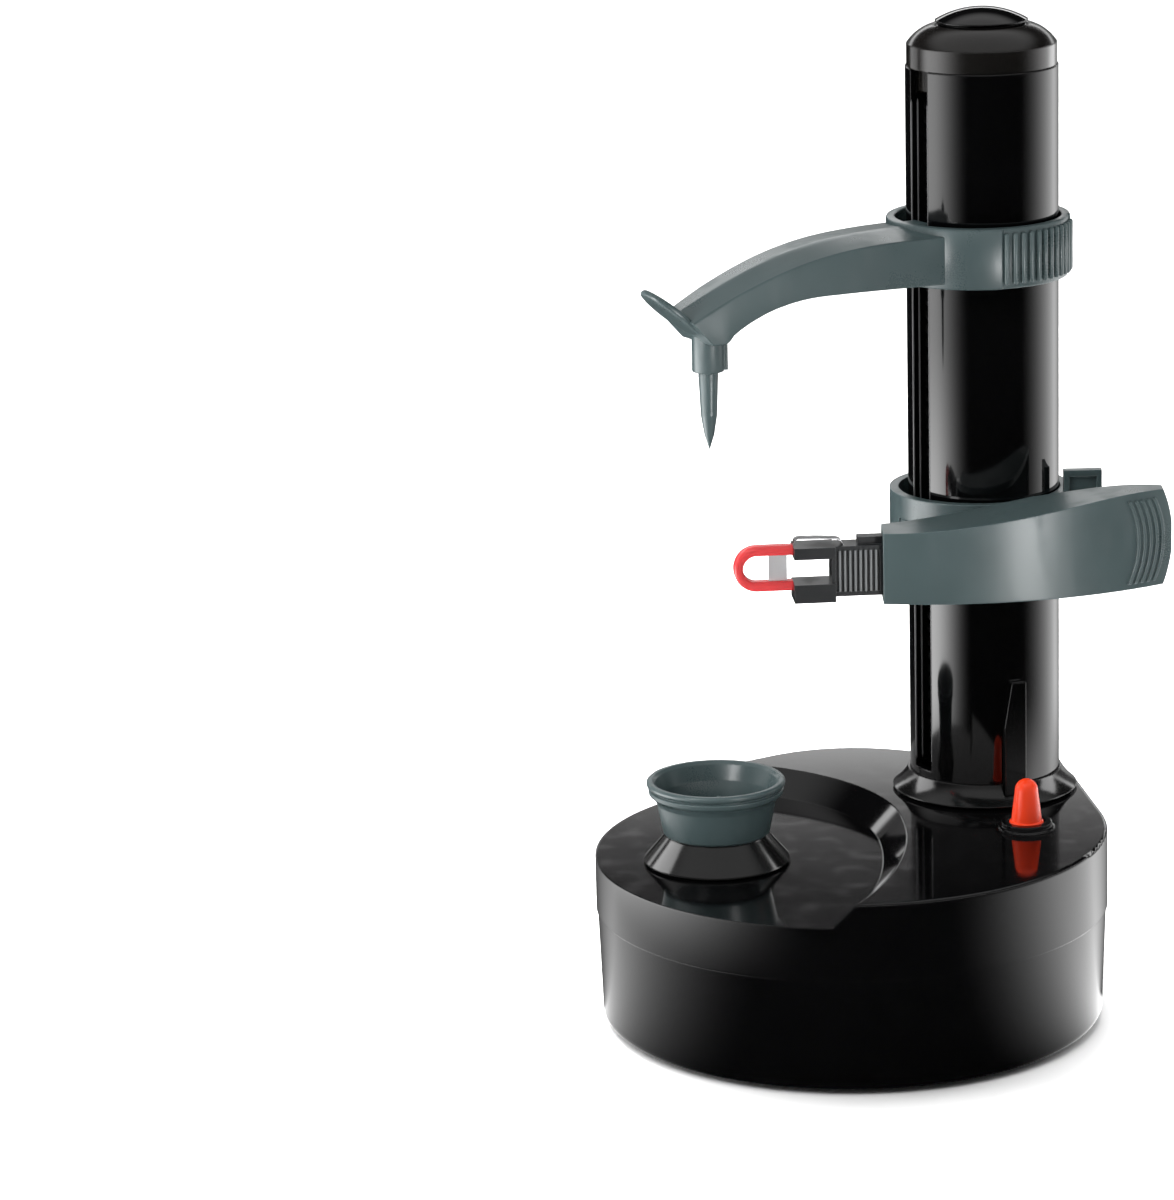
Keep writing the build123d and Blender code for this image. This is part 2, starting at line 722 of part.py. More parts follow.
def make_cup():
    """Drive cone and the food cup on it."""
    low = dish_z + cone_lift
    neck = cup_foot_r - 0.6
    cone = turned(
        [(spindle_r, low + 1), (cone_r - 2, low + 1), (cone_r - 2, low), (cone_r, low),
         (cone_r, low + 0.4), (neck, cup_z - 0.2), (neck, cup_z), (spindle_r, cup_z)],
        food,
    )
    parts["drive_cone"] = only(cone)

    top = cup_z + cup_h
    inner = cup_z + 4
    cup = turned(
        [(spindle_r, cup_z), (cup_foot_r - 0.5, cup_z), (cup_foot_r, cup_z + 0.5),
         (cup_body_r, top - 6.4), (cup_body_r + 0.7, top - 5), (cup_rim_r - 0.6, top - 3.8),
         (cup_rim_r - 0.4, top - 2.6), (cup_rim_r - 1.1, top - 2.2), (cup_rim_r - 0.3, top - 1.7),
         (cup_rim_r, top - 1.2), (cup_rim_r, top - 0.5), (cup_rim_r - 0.5, top),
         (cup_rim_r - 1.5, top), (cup_rim_r - 2.4, top - 0.8), (cup_body_r - cup_wall, top - 5),
         (cup_foot_r - cup_wall, inner), (0, inner),
         (0, cup_z + 2), (spindle_r, cup_z + 2)],
        food,
    )
    for k in range(4):
        fin = make_face(Polyline((0.5, 0), (4.5, 0), (3.5, 6), (2.5, 6), close=True))
        prong = extrude(Plane.XZ * fin, 0.5, both=True)
        cup += Pos(food.X, food.Y, inner - 0.5) * Rot(0, 0, 45 + k * 90) * prong
    parts["food_cup"] = only(cup)


# Carriage: its own frame looks the way the lever faces, with the tower at its origin.
# The hoops hang a little to the food's side, so their bores have room there.
front = Pos(tower_x, axis_y, 0) * Rot(0, 0, front_turn)
hoop_in = tower_r + slip + hoop_shift
hoop_out = hoop_in + hoop_wall
hoop_mid = Vector(-hoop_shift, 0)
carriage_top = carriage_bottom + carriage_h
nut_z = carriage_bottom + carriage_h / 2
thread_r = screw_r + 0.6
pivot = Vector(pivot_x, -hoop_out - 7.3)
lever_front = hoop_out + 29.2
lever_bottom = carriage_bottom + lever_lift
lug_low = lever_bottom - 3.5
lug_high = lug_low + 0.62 * carriage_h


def bow(x, push):
    """Depth of the lever's bowed front at a place along it, pushed back."""
    r = bow_r - push
    return -lever_front + bow_r - math.sqrt(r * r - (x - bow_x) ** 2)


def nut_block(room, x0, x1):
    """Block of the half nut, which reaches through the tower's slot."""
    w = nut_w / 2 + room
    h = nut_h / 2 + room
    return brick(tower_x - x1, tower_x - x0, axis_y - w, axis_y + w, nut_z - h, nut_z + h)


def make_carriage():
    """Hoop with lugs, nut guide and finger tab, its pin, spring and half nut."""
    hoop = cyl(hoop_mid, carriage_bottom, carriage_top, hoop_out)
    tab_x = hoop_out + 7
    tab_y = -hoop_out / 2
    tab_z = carriage_top + tab_rise
    tab = brick(tab_x - tab_w, tab_x, tab_y, tab_y + tab_t, carriage_bottom + 2, tab_z)
    tab += brick(tab_x - tab_w - 6, tab_x, tab_y, tab_y + tab_t, carriage_bottom + 2, carriage_top)
    window = brick(tab_x - tab_w + 1.6, tab_x - 1.4, tab_y - 1, tab_y + 1.4, tab_z - 7.6, tab_z - 1.8)
    hoop += tab - window
    for z in (lug_low, lug_high):
        lug = brick(pivot.X - hub_r, pivot.X + hub_r, pivot.Y, -hoop_in, z, z + lug_t)
        hoop += lug + cyl(pivot, z, z + lug_t, hub_r)
    hoop -= cyl(pivot, lug_low - 1, lug_high + lug_t + 1, pivot_r + fit)
    hoop -= cyl(hoop_mid, carriage_bottom - 1, tab_z + 1, hoop_in)
    ring = front * hoop
    guide_x = hoop_out + hoop_shift
    ring += nut_block(2, tower_r + slip, guide_x - 0.8)
    ring -= nut_block(gap, 0, guide_x + 3)
    ring -= finger_slot(slip + 0.15, carriage_bottom - 1, carriage_top - 3)
    parts["carriage_ring"] = only(ring)

    parts["pivot_pin"] = only(front * cyl(pivot, lug_low - 0.4, lug_high + lug_t + 0.4, pivot_r))
    nut = nut_block(0, screw_offset + 2.5, guide_x - 0.6)
    nut -= cyl(screw, carriage_bottom, carriage_top, thread_r + gap)
    parts["half_nut"] = only(nut)

    root_x = 0.45 * hoop_out
    root_y = -math.sqrt(hoop_out ** 2 - (root_x + hoop_shift) ** 2) - 0.2
    tip_x = 1.1 * hoop_out
    tip_y = bow(tip_x, lever_wall) + 0.5
    leaf = make_face(
        Polyline(
            (root_x, root_y), (root_x + 0.8, root_y), (root_x + 1, root_y - 2),
            (tip_x + 0.4, tip_y + 0.4), (tip_x, tip_y), (root_x, root_y - 2.2), close=True,
        )
    )
    parts["lever_spring"] = only(front * extrude(Pos(0, 0, nut_z - 2) * leaf, 8))


def lever_plan(push, left):
    """Plan of the lever from its bowed front to its back edge, pushed back."""
    right = lever_right - push
    mid = (left + right) / 2
    back = -lever_front + lever_deep + push
    a = (left, bow(left, push))
    e = (right, bow(right, push))
    edges = [
        ThreePointArc(a, (mid, bow(mid, push)), e),
        Polyline(e, (right, e[1] + 3.5), (0.22 * lever_right, back + 0.8 * lever_deep), (left, back)),
        Line((left, back), a),
    ]
    return make_face(edges)


def lever_side(drop, low):
    """Side view of the lever: level foot, rising top, round thumb end."""
    rise = [(-1.05 * lever_left, 0.77), (-4, 0.85), (18, 0.965), (37, 1.05), (0.95 * lever_right, 1.045)]
    top = [(x, lever_bottom + s * carriage_h - drop) for x, s in rise]
    heel = top[-1][0]
    edges = [
        Spline(*top),
        ThreePointArc(top[-1], (lever_right + 0.2 - drop, lever_bottom + carriage_h / 2), (heel, low)),
        Polyline((heel, low), (top[0][0], low), top[0]),
    ]
    return extrude(Plane.XZ * make_face(edges), 4 * hoop_out)


def thumb_rib(x):
    """Upright bar through the lever, curved like its thumb end."""
    low = lever_bottom + 1.6
    high = lever_bottom + 0.97 * carriage_h
    mid = (low + high) / 2
    swell = 0.055 * lever_right
    edges = [
        ThreePointArc((x, high), (x + swell, mid), (x, low)),
        Line((x, low), (x + rib_w, low)),
        ThreePointArc((x + rib_w, low), (x + rib_w + swell, mid), (x + rib_w, high)),
        Line((x + rib_w, high), (x, high)),
    ]
    return extrude(Plane.XZ * make_face(edges), 4 * hoop_out)


def make_lever():
    """Peeling lever, blade holder, blade guide and blade."""
    tall = 3 * carriage_h
    low = lever_bottom - carriage_h
    block = extrude(Pos(0, 0, low) * lever_plan(0, -lever_left), tall)
    block &= lever_side(0, lever_bottom)
    room = extrude(Pos(0, 0, low) * lever_plan(lever_wall, 2 - lever_left), tall)
    lever = block - (room & lever_side(2, low))
    hub_low = lug_low + lug_t + gap
    hub_high = lug_high - gap
    inside = bow(pivot.X, lever_wall / 2)
    web = brick(pivot.X - 1.8, pivot.X + 1.8, inside, pivot.Y, hub_low, hub_high)
    lever += web + cyl(pivot, hub_low, hub_high, hub_r)
    lever -= cyl(pivot, hub_low - 1, hub_high + 1, pivot_r + fit)
    skin = extrude(Pos(0, 0, low) * lever_plan(-rib_rise, -lever_left), tall)
    skin -= extrude(Pos(0, 0, low - 1) * lever_plan(lever_wall / 2, -lever_left - 1), tall + 2)
    for k in range(5):
        lever += thumb_rib(0.8 * lever_right - 3 + 1.8 * k) & skin
    parts["peeling_lever"] = only(front * only(lever))

    root_y = (bow(-lever_left, 0) - lever_front + lever_deep) / 2
    place = Pos(-lever_left, root_y, lever_bottom + 0.358 * carriage_h) * Rot(0, 0, holder_turn)
    top = block_h / 2
    deep = block_t / 2
    holder = brick(-4, block_len, -deep, deep, -top, top)
    ribs = 9
    for k in range(ribs):
        u = 1.5 + (block_len - 3) * k / (ribs - 1)
        for side in (-1, 1):
            v = side * deep
            holder -= brick(u - 0.4, u + 0.4, v - 0.6, v + 0.6, 1.2 - top, top - 1.2)
    reach = block_len + fork_len
    for z0, z1 in ((top - 3.2, top), (-top - 1.4, -top + 3.8)):
        holder += brick(block_len - 1, reach, -fork_deep / 2, fork_deep / 2, z0, z1)
    holder += brick(-2, 7, -2, 2, top - 1, top + 2)
    past = brick(-lever_left, 2 * lever_right, -4 * hoop_out, 0, low, low + tall)
    parts["blade_holder"] = only(front * (place * holder - past))

    end = guide_h / 2
    inner = end - guide_wall
    tip = reach + guide_len - end
    half = guide_t / 2
    across = Rot(90, 0, 0)
    loop = brick(reach, tip, -half, half, -end, end) + Pos(tip, 0, 0) * across * Cylinder(end, guide_t)
    loop -= brick(reach - 1, tip, -guide_t, guide_t, -inner, inner)
    loop -= Pos(tip, 0, 0) * across * Cylinder(inner, 2 * guide_t)
    raised = place * Pos(0, 0, guide_lift)
    parts["blade_guide"] = only(front * raised * loop)

    u0 = reach + 1.6
    u1 = u0 + blade_w
    steel = brick(u0, u1, -blade_t / 2, blade_t / 2, -inner, inner)
    steel -= Pos(u1, -blade_t / 2, 0) * Rot(0, 0, 45) * Box(blade_t, blade_t, guide_h)
    parts["peeling_blade"] = only(front * raised * steel)


def make_top_arm():
    """Upper arm with its hoop, and the pin that holds the food's top."""
    z0 = arm_ring_bottom
    z1 = z0 + arm_ring_h
    mid_z = (z0 + z1) / 2
    reach = tower_x - food_x
    bore = tower_r + slip + arm_shift
    outer = bore + hoop_wall
    centre = Vector(tower_x - arm_shift, axis_y)
    hoop = cyl(centre, z0, z1, outer)
    for k in range(12):
        rib = Pos(outer, 0, mid_z) * Box(1.0, 1.2, arm_ring_h - 2.4)
        hoop += Pos(centre.X, centre.Y, 0) * Rot(0, 0, front_turn - 74 + 5.8 * k) * rib
    top = [(0.2, 0), (0.495, 0.9), (0.67, 0), (0.835, -3.9), (0.967, -8.5), (1.066, -15)]
    low = [(0.923, -arm_drop), (0.802, -4), (0.66, -1.4), (0.495, -0.3), (0.2, 0)]
    over = [(-s * reach, z1 + z) for s, z in top]
    under = [(-s * reach, z0 + z) for s, z in low]
    edges = [
        Spline(*over),
        Polyline(over[-1], (-reach - boss_r, z0 - arm_drop), under[0]),
        Spline(*under),
        Line(under[-1], over[0]),
    ]
    beam = extrude(Plane.XZ * make_face(edges), arm_root_w, both=True)
    root = arm_root_w / 2
    tip = arm_tip_w / 2
    plan = make_face(Polyline((-0.2 * reach, root), (-1.1 * reach, tip), (-1.1 * reach, -tip),
                              (-0.2 * reach, -root), close=True))
    beam &= extrude(Pos(0, 0, z0 - 40) * plan, 80 + arm_ring_h)
    sides = [f for f in beam.faces() if abs(f.normal_at().Y) > 0.9]
    beam = fillet([e for f in sides for e in f.edges()], arm_round)
    arm = hoop + Pos(tower_x, axis_y, 0) * beam
    leaf = extrude(Ellipse(leaf_len, leaf_w), 1, both=True)
    arm += Pos(food_x - leaf_len + 0.7, axis_y, z0) * Rot(0, 40, 0) * leaf
    boss_z = z0 - arm_drop - boss_len
    arm += cyl(food, boss_z, z0 - 6, boss_r)
    arm -= cyl(centre, z0 - 20, z1 + 20, bore)
    half = slot_w / 2 - slip
    key_x = tower_x - tower_r + 1
    arm += brick(tower_x - outer - arm_shift + 1, key_x, axis_y - half, axis_y + half, z0, z1)
    arm -= cyl(food, boss_z - 1, boss_z + 12, axle_r + fit)
    parts["top_arm"] = only(arm)

    foot = boss_z - 0.2
    parts["top_pin"] = only(
        turned(
            [(0, boss_z + 11.5), (axle_r, boss_z + 11.5), (axle_r, foot), (pin_r, foot),
             (pin_r * 0.82, foot - pin_len * 0.55), (pin_r * 0.5, foot - pin_len * 0.8),
             (0, foot - pin_len)],
            food,
        )
    )


make_shell()
make_cover()
make_battery()
make_switch()
make_tower()
make_plate()
make_drive()
make_cup()
make_carriage()
make_lever()
make_top_arm()

# Origin under the middle of the whole object
centre = Compound(list(parts.values())).bounding_box().center()
home = Pos(-centre.X, -centre.Y, 0)

os.makedirs("parts", exist_ok=True)
for name, shape in parts.items():
    export_step(home * shape, f"parts/{name}.step")
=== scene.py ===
"""Looks of an electric tower peeler: moulded skins, finishes, studio light and camera."""

import json
import logging
import math
from dataclasses import dataclass
from enum import Enum
from typing import Any, Callable, ClassVar, Sequence, Union

import bmesh
import bpy
from mathutils import Matrix, Vector

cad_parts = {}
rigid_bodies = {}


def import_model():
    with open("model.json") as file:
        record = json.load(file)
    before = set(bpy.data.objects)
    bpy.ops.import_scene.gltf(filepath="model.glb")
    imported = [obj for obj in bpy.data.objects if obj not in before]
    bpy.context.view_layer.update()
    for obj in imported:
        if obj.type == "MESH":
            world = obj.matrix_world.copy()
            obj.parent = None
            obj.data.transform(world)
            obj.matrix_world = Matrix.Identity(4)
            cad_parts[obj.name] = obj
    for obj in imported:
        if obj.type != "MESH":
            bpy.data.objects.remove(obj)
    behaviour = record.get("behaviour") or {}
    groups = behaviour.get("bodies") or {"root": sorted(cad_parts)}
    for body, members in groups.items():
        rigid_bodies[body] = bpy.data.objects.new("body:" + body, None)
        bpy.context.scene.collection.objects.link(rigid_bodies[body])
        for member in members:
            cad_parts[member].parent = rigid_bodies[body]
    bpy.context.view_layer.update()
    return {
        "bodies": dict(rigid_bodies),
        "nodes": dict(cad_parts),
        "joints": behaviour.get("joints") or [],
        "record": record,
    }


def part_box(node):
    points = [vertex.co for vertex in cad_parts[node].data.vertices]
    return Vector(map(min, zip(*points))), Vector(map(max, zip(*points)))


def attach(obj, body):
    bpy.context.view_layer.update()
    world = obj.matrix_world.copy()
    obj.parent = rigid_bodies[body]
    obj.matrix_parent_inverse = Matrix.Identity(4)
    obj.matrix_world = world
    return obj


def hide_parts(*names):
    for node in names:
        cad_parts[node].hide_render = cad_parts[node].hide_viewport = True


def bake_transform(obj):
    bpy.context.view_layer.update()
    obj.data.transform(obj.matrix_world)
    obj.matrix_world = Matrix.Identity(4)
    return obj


LOG = logging.getLogger("peeler")
MM = 0.001
RGB = tuple[float, float, float]
Point = tuple[float, float, float]
Flat = tuple[float, float]
Mesh = bmesh.types.BMesh
Socket = bpy.types.NodeSocket
Number = Union[float, "Tap"]
Settings = Union[dict[str, Any], None]
Inputs = Union[dict[Union[str, int], Any], None]
PLAIN: Point = (1.0, 1.0, 1.0)
VIEW_TURN = math.radians(29.4)
FACE_TURN = math.radians(-30.0)
SHARP = math.radians(38)
JOIN = 1e-6


class Tap:
    """A socket that carries a number; Python's operators on it add Math nodes."""

    def __init__(self, sheet: "ShaderSheet", socket: Socket) -> None:
        """Keeps the socket and the sheet that it belongs to."""
        self.sheet = sheet
        self.socket = socket

    def __add__(self, other: Number) -> "Tap":
        """self + other."""
        return self.sheet.math("ADD", self, other)

    def __radd__(self, other: Number) -> "Tap":
        """other + self."""
        return self.sheet.math("ADD", other, self)

    def __sub__(self, other: Number) -> "Tap":
        """self - other."""
        return self.sheet.math("SUBTRACT", self, other)

    def __rsub__(self, other: Number) -> "Tap":
        """other - self."""
        return self.sheet.math("SUBTRACT", other, self)

    def __mul__(self, other: Number) -> "Tap":
        """self * other."""
        return self.sheet.math("MULTIPLY", self, other)

    def __rmul__(self, other: Number) -> "Tap":
        """other * self."""
        return self.sheet.math("MULTIPLY", other, self)

    def __truediv__(self, other: Number) -> "Tap":
        """self / other."""
        return self.sheet.math("DIVIDE", self, other)

    def __pow__(self, other: Number) -> "Tap":
        """self to the power of other."""
        return self.sheet.math("POWER", self, other)

    def ramp(self, low: float, high: float, start: float = 0.0, end: float = 1.0) -> "Tap":
        """A smooth step of this number, from start at low to end at high; high may lie below low."""
        inputs = {"Value": self, "From Min": low, "From Max": high, "To Min": start, "To Max": end}
        return self.sheet.tap("ShaderNodeMapRange", {"interpolation_type": "SMOOTHSTEP"}, inputs)


class ShaderSheet:
    """The node tree of one material or of the world."""

    def __init__(self, tree: bpy.types.NodeTree) -> None:
        """Starts the tree empty."""
        self.tree = tree
        tree.nodes.clear()

    def add(self, kind: str, settings: Settings = None, sockets: Inputs = None) -> bpy.types.Node:
        """Adds one node.

        Args:
            kind: the node's type.
            settings: its properties, set first.
            sockets: numbers, colours, taps or other sockets for its inputs.

        Returns:
            The new node.
        """
        node = self.tree.nodes.new(kind)
        for key, value in (settings or {}).items():
            setattr(node, key, value)
        for key, value in (sockets or {}).items():
            target = node.inputs[key]
            value = value.socket if isinstance(value, Tap) else value
            if isinstance(value, Socket):
                self.tree.links.new(value, target)
            else:
                target.default_value = value
        return node

    def tap(
        self, kind: str, settings: Settings = None, sockets: Inputs = None, output: Union[str, int] = 0
    ) -> Tap:
        """Adds a node as add does, and gives one of its outputs as a number."""
        return Tap(self, self.add(kind, settings, sockets).outputs[output])

    def math(self, operation: str, first: Number, second: Number) -> Tap:
        """Adds a Math node of that operation and gives its result."""
        return self.tap("ShaderNodeMath", {"operation": operation}, {0: first, 1: second})

    def mix(self, factor: Number, first: Any, second: Any) -> Socket:
        """Mixes two colours.

        Args:
            factor: 0 gives the first and 1 the second.
            first: a colour or a colour socket.
            second: a colour or a colour socket.

        Returns:
            The mixed colour.
        """
        node = self.add("ShaderNodeMix", {"data_type": "RGBA"}, {0: factor})
        for place, value in ((6, first), (7, second)):
            if isinstance(value, Socket):
                self.tree.links.new(value, node.inputs[place])
            else:
                node.inputs[place].default_value = (*value, 1.0)
        return node.outputs[2]

    def dot(self, first: Any, second: Any) -> Tap:
        """Dot product of two vectors or vector sockets."""
        inputs = {0: first, 1: second}
        return self.tap("ShaderNodeVectorMath", {"operation": "DOT_PRODUCT"}, inputs, "Value")

    def place(self, stretch: Point = PLAIN) -> Socket:
        """The piece's own coordinates in metres.

        Args:
            stretch: factors on the three directions.

        Returns:
            The coordinates, as a vector socket.
        """
        own = self.add("ShaderNodeTexCoord").outputs["Object"]
        if stretch == PLAIN:
            return own
        return self.add("ShaderNodeMapping", None, {"Vector": own, "Scale": stretch}).outputs[0]

    def noise(self, size_mm: float, detail: float = 2.0, stretch: Point = PLAIN) -> Tap:
        """Soft noise from 0 to 1, with patches of a size, octaves of detail and stretched coordinates."""
        inputs = {"Vector": self.place(stretch), "Scale": 1.0 / (size_mm * MM), "Detail": detail}
        return self.tap("ShaderNodeTexNoise", None, inputs)

    def bump(self, height: Tap, depth_mm: float, strength: float, normal: Socket) -> Socket:
        """A normal with a relief laid on it, as deep as given where the height is 1."""
        inputs = {"Height": height, "Distance": depth_mm * MM, "Strength": strength, "Normal": normal}
        return self.add("ShaderNodeBump", None, inputs).outputs[0]


def turns(steps: int) -> list[float]:
    """Equal angles all the way round."""
    return [2 * math.pi * k / steps for k in range(steps)]


def polar(spot: Vector, r: float, a: float, z: float) -> Vector:
    """The point at a radius and an angle from an upright axis, and at a height."""
    return Vector((spot.x + r * math.cos(a), spot.y + r * math.sin(a), z))


def add_object(name: str, data: bpy.types.ID) -> bpy.types.Object:
    """Adds an object to the scene.

    Args:
        name: the object's name.
        data: its mesh, camera or light.

    Returns:
        The object.
    """
    made = bpy.data.objects.new(name, data)
    bpy.context.scene.collection.objects.link(made)
    return made


def shade(colour: RGB, factor: float) -> RGB:
    """The colour made darker or lighter by a factor."""
    return (colour[0] * factor, colour[1] * factor, colour[2] * factor)


@dataclass(frozen=True)
class Finish:
    """A surface finish, named after the record's material slot."""

    slot: str
    colour: RGB
    roughness: float
    edge_mm: float

    def material(self) -> bpy.types.Material:
        """Makes the finish as a material, once.

        Returns:
            The material.
        """
        found = bpy.data.materials.get(self.label())
        if found is not None:
            return found
        material = bpy.data.materials.new(self.label())
        material.use_nodes = True
        material.diffuse_color = (*self.colour, 1.0)
        sheet = ShaderSheet(material.node_tree)
        shader = sheet.add("ShaderNodeBsdfPrincipled", None, self.constants())
        for key, value in self.varying(sheet).items():
            socket = value.socket if isinstance(value, Tap) else value
            sheet.tree.links.new(socket, shader.inputs[key])
        sheet.add("ShaderNodeOutputMaterial", None, {"Surface": shader.outputs[0]})
        return material

    def label(self) -> str:
        """The material's name."""
        return "finish_" + self.slot

    def constants(self) -> dict[str, Any]:
        """Shader values that are the same all over the surface."""
        return {"IOR": 1.5}

    def varying(self, sheet: ShaderSheet) -> dict[str, Any]:
        """A socket or tap for each shader input that changes over the surface."""
        raise NotImplementedError

    def rounded(self, sheet: ShaderSheet) -> tuple[Socket, Tap]:
        """Small roundings on the edges.

        Args:
            sheet: the material's node tree.

        Returns:
            The rounded normal, and how near a point is to an edge, from 0 to 1.
        """
        soft = sheet.add("ShaderNodeBevel", {"samples": 6}, {"Radius": self.edge_mm * MM}).outputs[0]
        true = sheet.add("ShaderNodeNewGeometry").outputs["Normal"]
        return soft, (1.0 - sheet.dot(soft, true)).ramp(0.02, 0.3)


@dataclass(frozen=True)
class MouldedPlastic(Finish):
    """Injection-moulded plastic: flow clouds, wiped smears, fine grain, and edges painted paler: partly wear,
    partly a painted highlight.
    """

    grain_mm: float = 0.3
    grain_depth: float = 0.006
    mottle: float = 0.15
    smear: float = 0.1
    # how many times paler the edges are: partly wear, partly a painted highlight along rounded edges
    edge_wear_and_glint: float = 1.6
    tone: str = ""

    def label(self) -> str:
        """The material's name, with the tone that sets it apart in its slot."""
        return "finish_" + self.slot + self.tone

    def varying(self, sheet: ShaderSheet) -> dict[str, Any]:
        """Colour, roughness and normal of moulded plastic.

        Args:
            sheet: the material's node tree.

        Returns:
            A socket or tap for each input's name.
        """
        normal, edge = self.rounded(sheet)
        cloud = sheet.noise(28.0, 3.0)
        wiped = sheet.noise(9.0, 4.0, (1.0, 1.0, 0.35)).ramp(0.48, 0.72)
        grain = sheet.noise(self.grain_mm, 2.0)
        dark, pale = shade(self.colour, 1 - self.mottle), shade(self.colour, 1 + self.mottle)
        body = sheet.mix(cloud.ramp(0.3, 0.7), dark, pale)
        # edges made paler by a factor: partly wear, partly a painted highlight where light would catch the
        # rounded edges
        colour = sheet.mix(edge * (0.35 + 0.4 * cloud), body, shade(self.colour, self.edge_wear_and_glint))
        rough = self.roughness * (0.85 + 0.3 * cloud) + wiped * self.smear + grain * (0.3 * self.smear)
        fine = sheet.bump(grain, self.grain_depth, 0.8, normal)
        return {"Base Color": colour, "Roughness": rough, "Normal": fine}


@dataclass(frozen=True)
class TintedGuide(MouldedPlastic):
    """Red plastic that lets some light through."""

    clear: float = 0.35

    def constants(self) -> dict[str, Any]:
        """Index, and how much light goes through."""
        return {"IOR": 1.46, "Transmission Weight": self.clear}


@dataclass(frozen=True)
class WorkedMetal(Finish):
    """Metal with fine strokes of its working and small stains."""

    stroke: Point = (1.0, 1.0, 12.0)
    stain: float = 0.12
    stroke_depth: float = 0.006

    def constants(self) -> dict[str, Any]:
        """All metal."""
        return {"Metallic": 1.0}

    def varying(self, sheet: ShaderSheet) -> dict[str, Any]:
        """Colour, roughness and normal of worked metal.

        Args:
            sheet: the material's node tree.

        Returns:
            A socket or tap for each input's name.
        """
        normal, edge = self.rounded(sheet)
        strokes = sheet.noise(1.6, 3.0, self.stroke)
        cloud = sheet.noise(11.0, 3.0)
        body = sheet.mix(cloud.ramp(0.35, 0.75), self.colour, shade(self.colour, 1 - self.stain))
        colour = sheet.mix(edge * 0.5, body, shade(self.colour, 1.12))
        rough = self.roughness * (0.7 + 0.6 * strokes) + 0.05 * cloud
        fine = sheet.bump(strokes, self.stroke_depth, 0.7, normal)
        return {"Base Color": colour, "Roughness": rough, "Normal": fine}


class Look(Enum):
    """The finishes of this peeler."""

    GLOSS = MouldedPlastic(
        "black_gloss", (0.0016, 0.0016, 0.0018), 0.07, 0.6, 0.5, 0.0008, smear=0.02, edge_wear_and_glint=2.5
    )
    CAP = MouldedPlastic(
        "black_gloss", (0.006, 0.0055, 0.005), 0.17, 0.6, 0.4, 0.002, smear=0.04, edge_wear_and_glint=3.0, tone="_cap"
    )
    SKIRT = MouldedPlastic(
        "black_gloss", (0.003, 0.003, 0.003), 0.14, 0.6, 0.4, 0.002, smear=0.04, edge_wear_and_glint=3.0, tone="_skirt"
    )
    SATIN = MouldedPlastic("black_satin", (0.012, 0.012, 0.013), 0.34, 0.3, edge_wear_and_glint=2.2)
    # edges many times paler: a painted glint along the holder's ribs
    RIBBED = MouldedPlastic("black_satin", (0.012, 0.013, 0.014), 0.28, 0.16, edge_wear_and_glint=9.0, tone="_ribbed")
    # pale bars on the holder's crests: a painted highlight
    CREST_HIGHLIGHT = MouldedPlastic("black_satin", (0.095, 0.1, 0.104), 0.36, 0.05, mottle=0.2, edge_wear_and_glint=1.2, tone="_crest")
    # pale beads on the slot's edges: painted glints
    SLOT_GLINT = MouldedPlastic(
        "black_gloss", (0.11, 0.11, 0.112), 0.3, 0.1, grain_depth=0.004, mottle=0.2, edge_wear_and_glint=1.3, tone="_slot_glint"
    )
    SLATE = MouldedPlastic("slate", (0.038, 0.056, 0.058), 0.27, 0.5, 0.32, mottle=0.07, edge_wear_and_glint=3.2)
    # ribs a little paler than the hoop: a painted highlight on the rib crests
    GRIP_HIGHLIGHT = MouldedPlastic("slate", (0.044, 0.064, 0.066), 0.27, 0.1, 0.32, mottle=0.07, edge_wear_and_glint=2.4, tone="_grip")
    RED = MouldedPlastic("red", (0.93, 0.055, 0.012), 0.2, 0.4, 0.4, 0.002, mottle=0.06, smear=0.06, edge_wear_and_glint=1.05)
    GUIDE = TintedGuide(
        "guide_red", (0.85, 0.07, 0.075), 0.2, 0.35, 0.4, 0.002, mottle=0.08, smear=0.06, edge_wear_and_glint=1.1
    )
    STEEL = WorkedMetal("steel", (0.66, 0.66, 0.67), 0.38, 0.15)
    BRASS = WorkedMetal("brass", (0.72, 0.52, 0.22), 0.28, 0.15, stroke=(1.0, 1.0, 3.0), stain=0.25)
    ACETAL = MouldedPlastic(
        "gear_white", (0.82, 0.8, 0.74), 0.42, 0.2, grain_depth=0.005, mottle=0.05, smear=0.08, edge_wear_and_glint=1.08
    )
    RUBBER = MouldedPlastic("rubber", (0.03, 0.03, 0.03), 0.75, 0.4, 0.25, 0.02, mottle=0.25)


LEVER_LOOKS = (Look.SLATE, Look.GRIP_HIGHLIGHT, Look.RIBBED, Look.CREST_HIGHLIGHT, Look.STEEL)


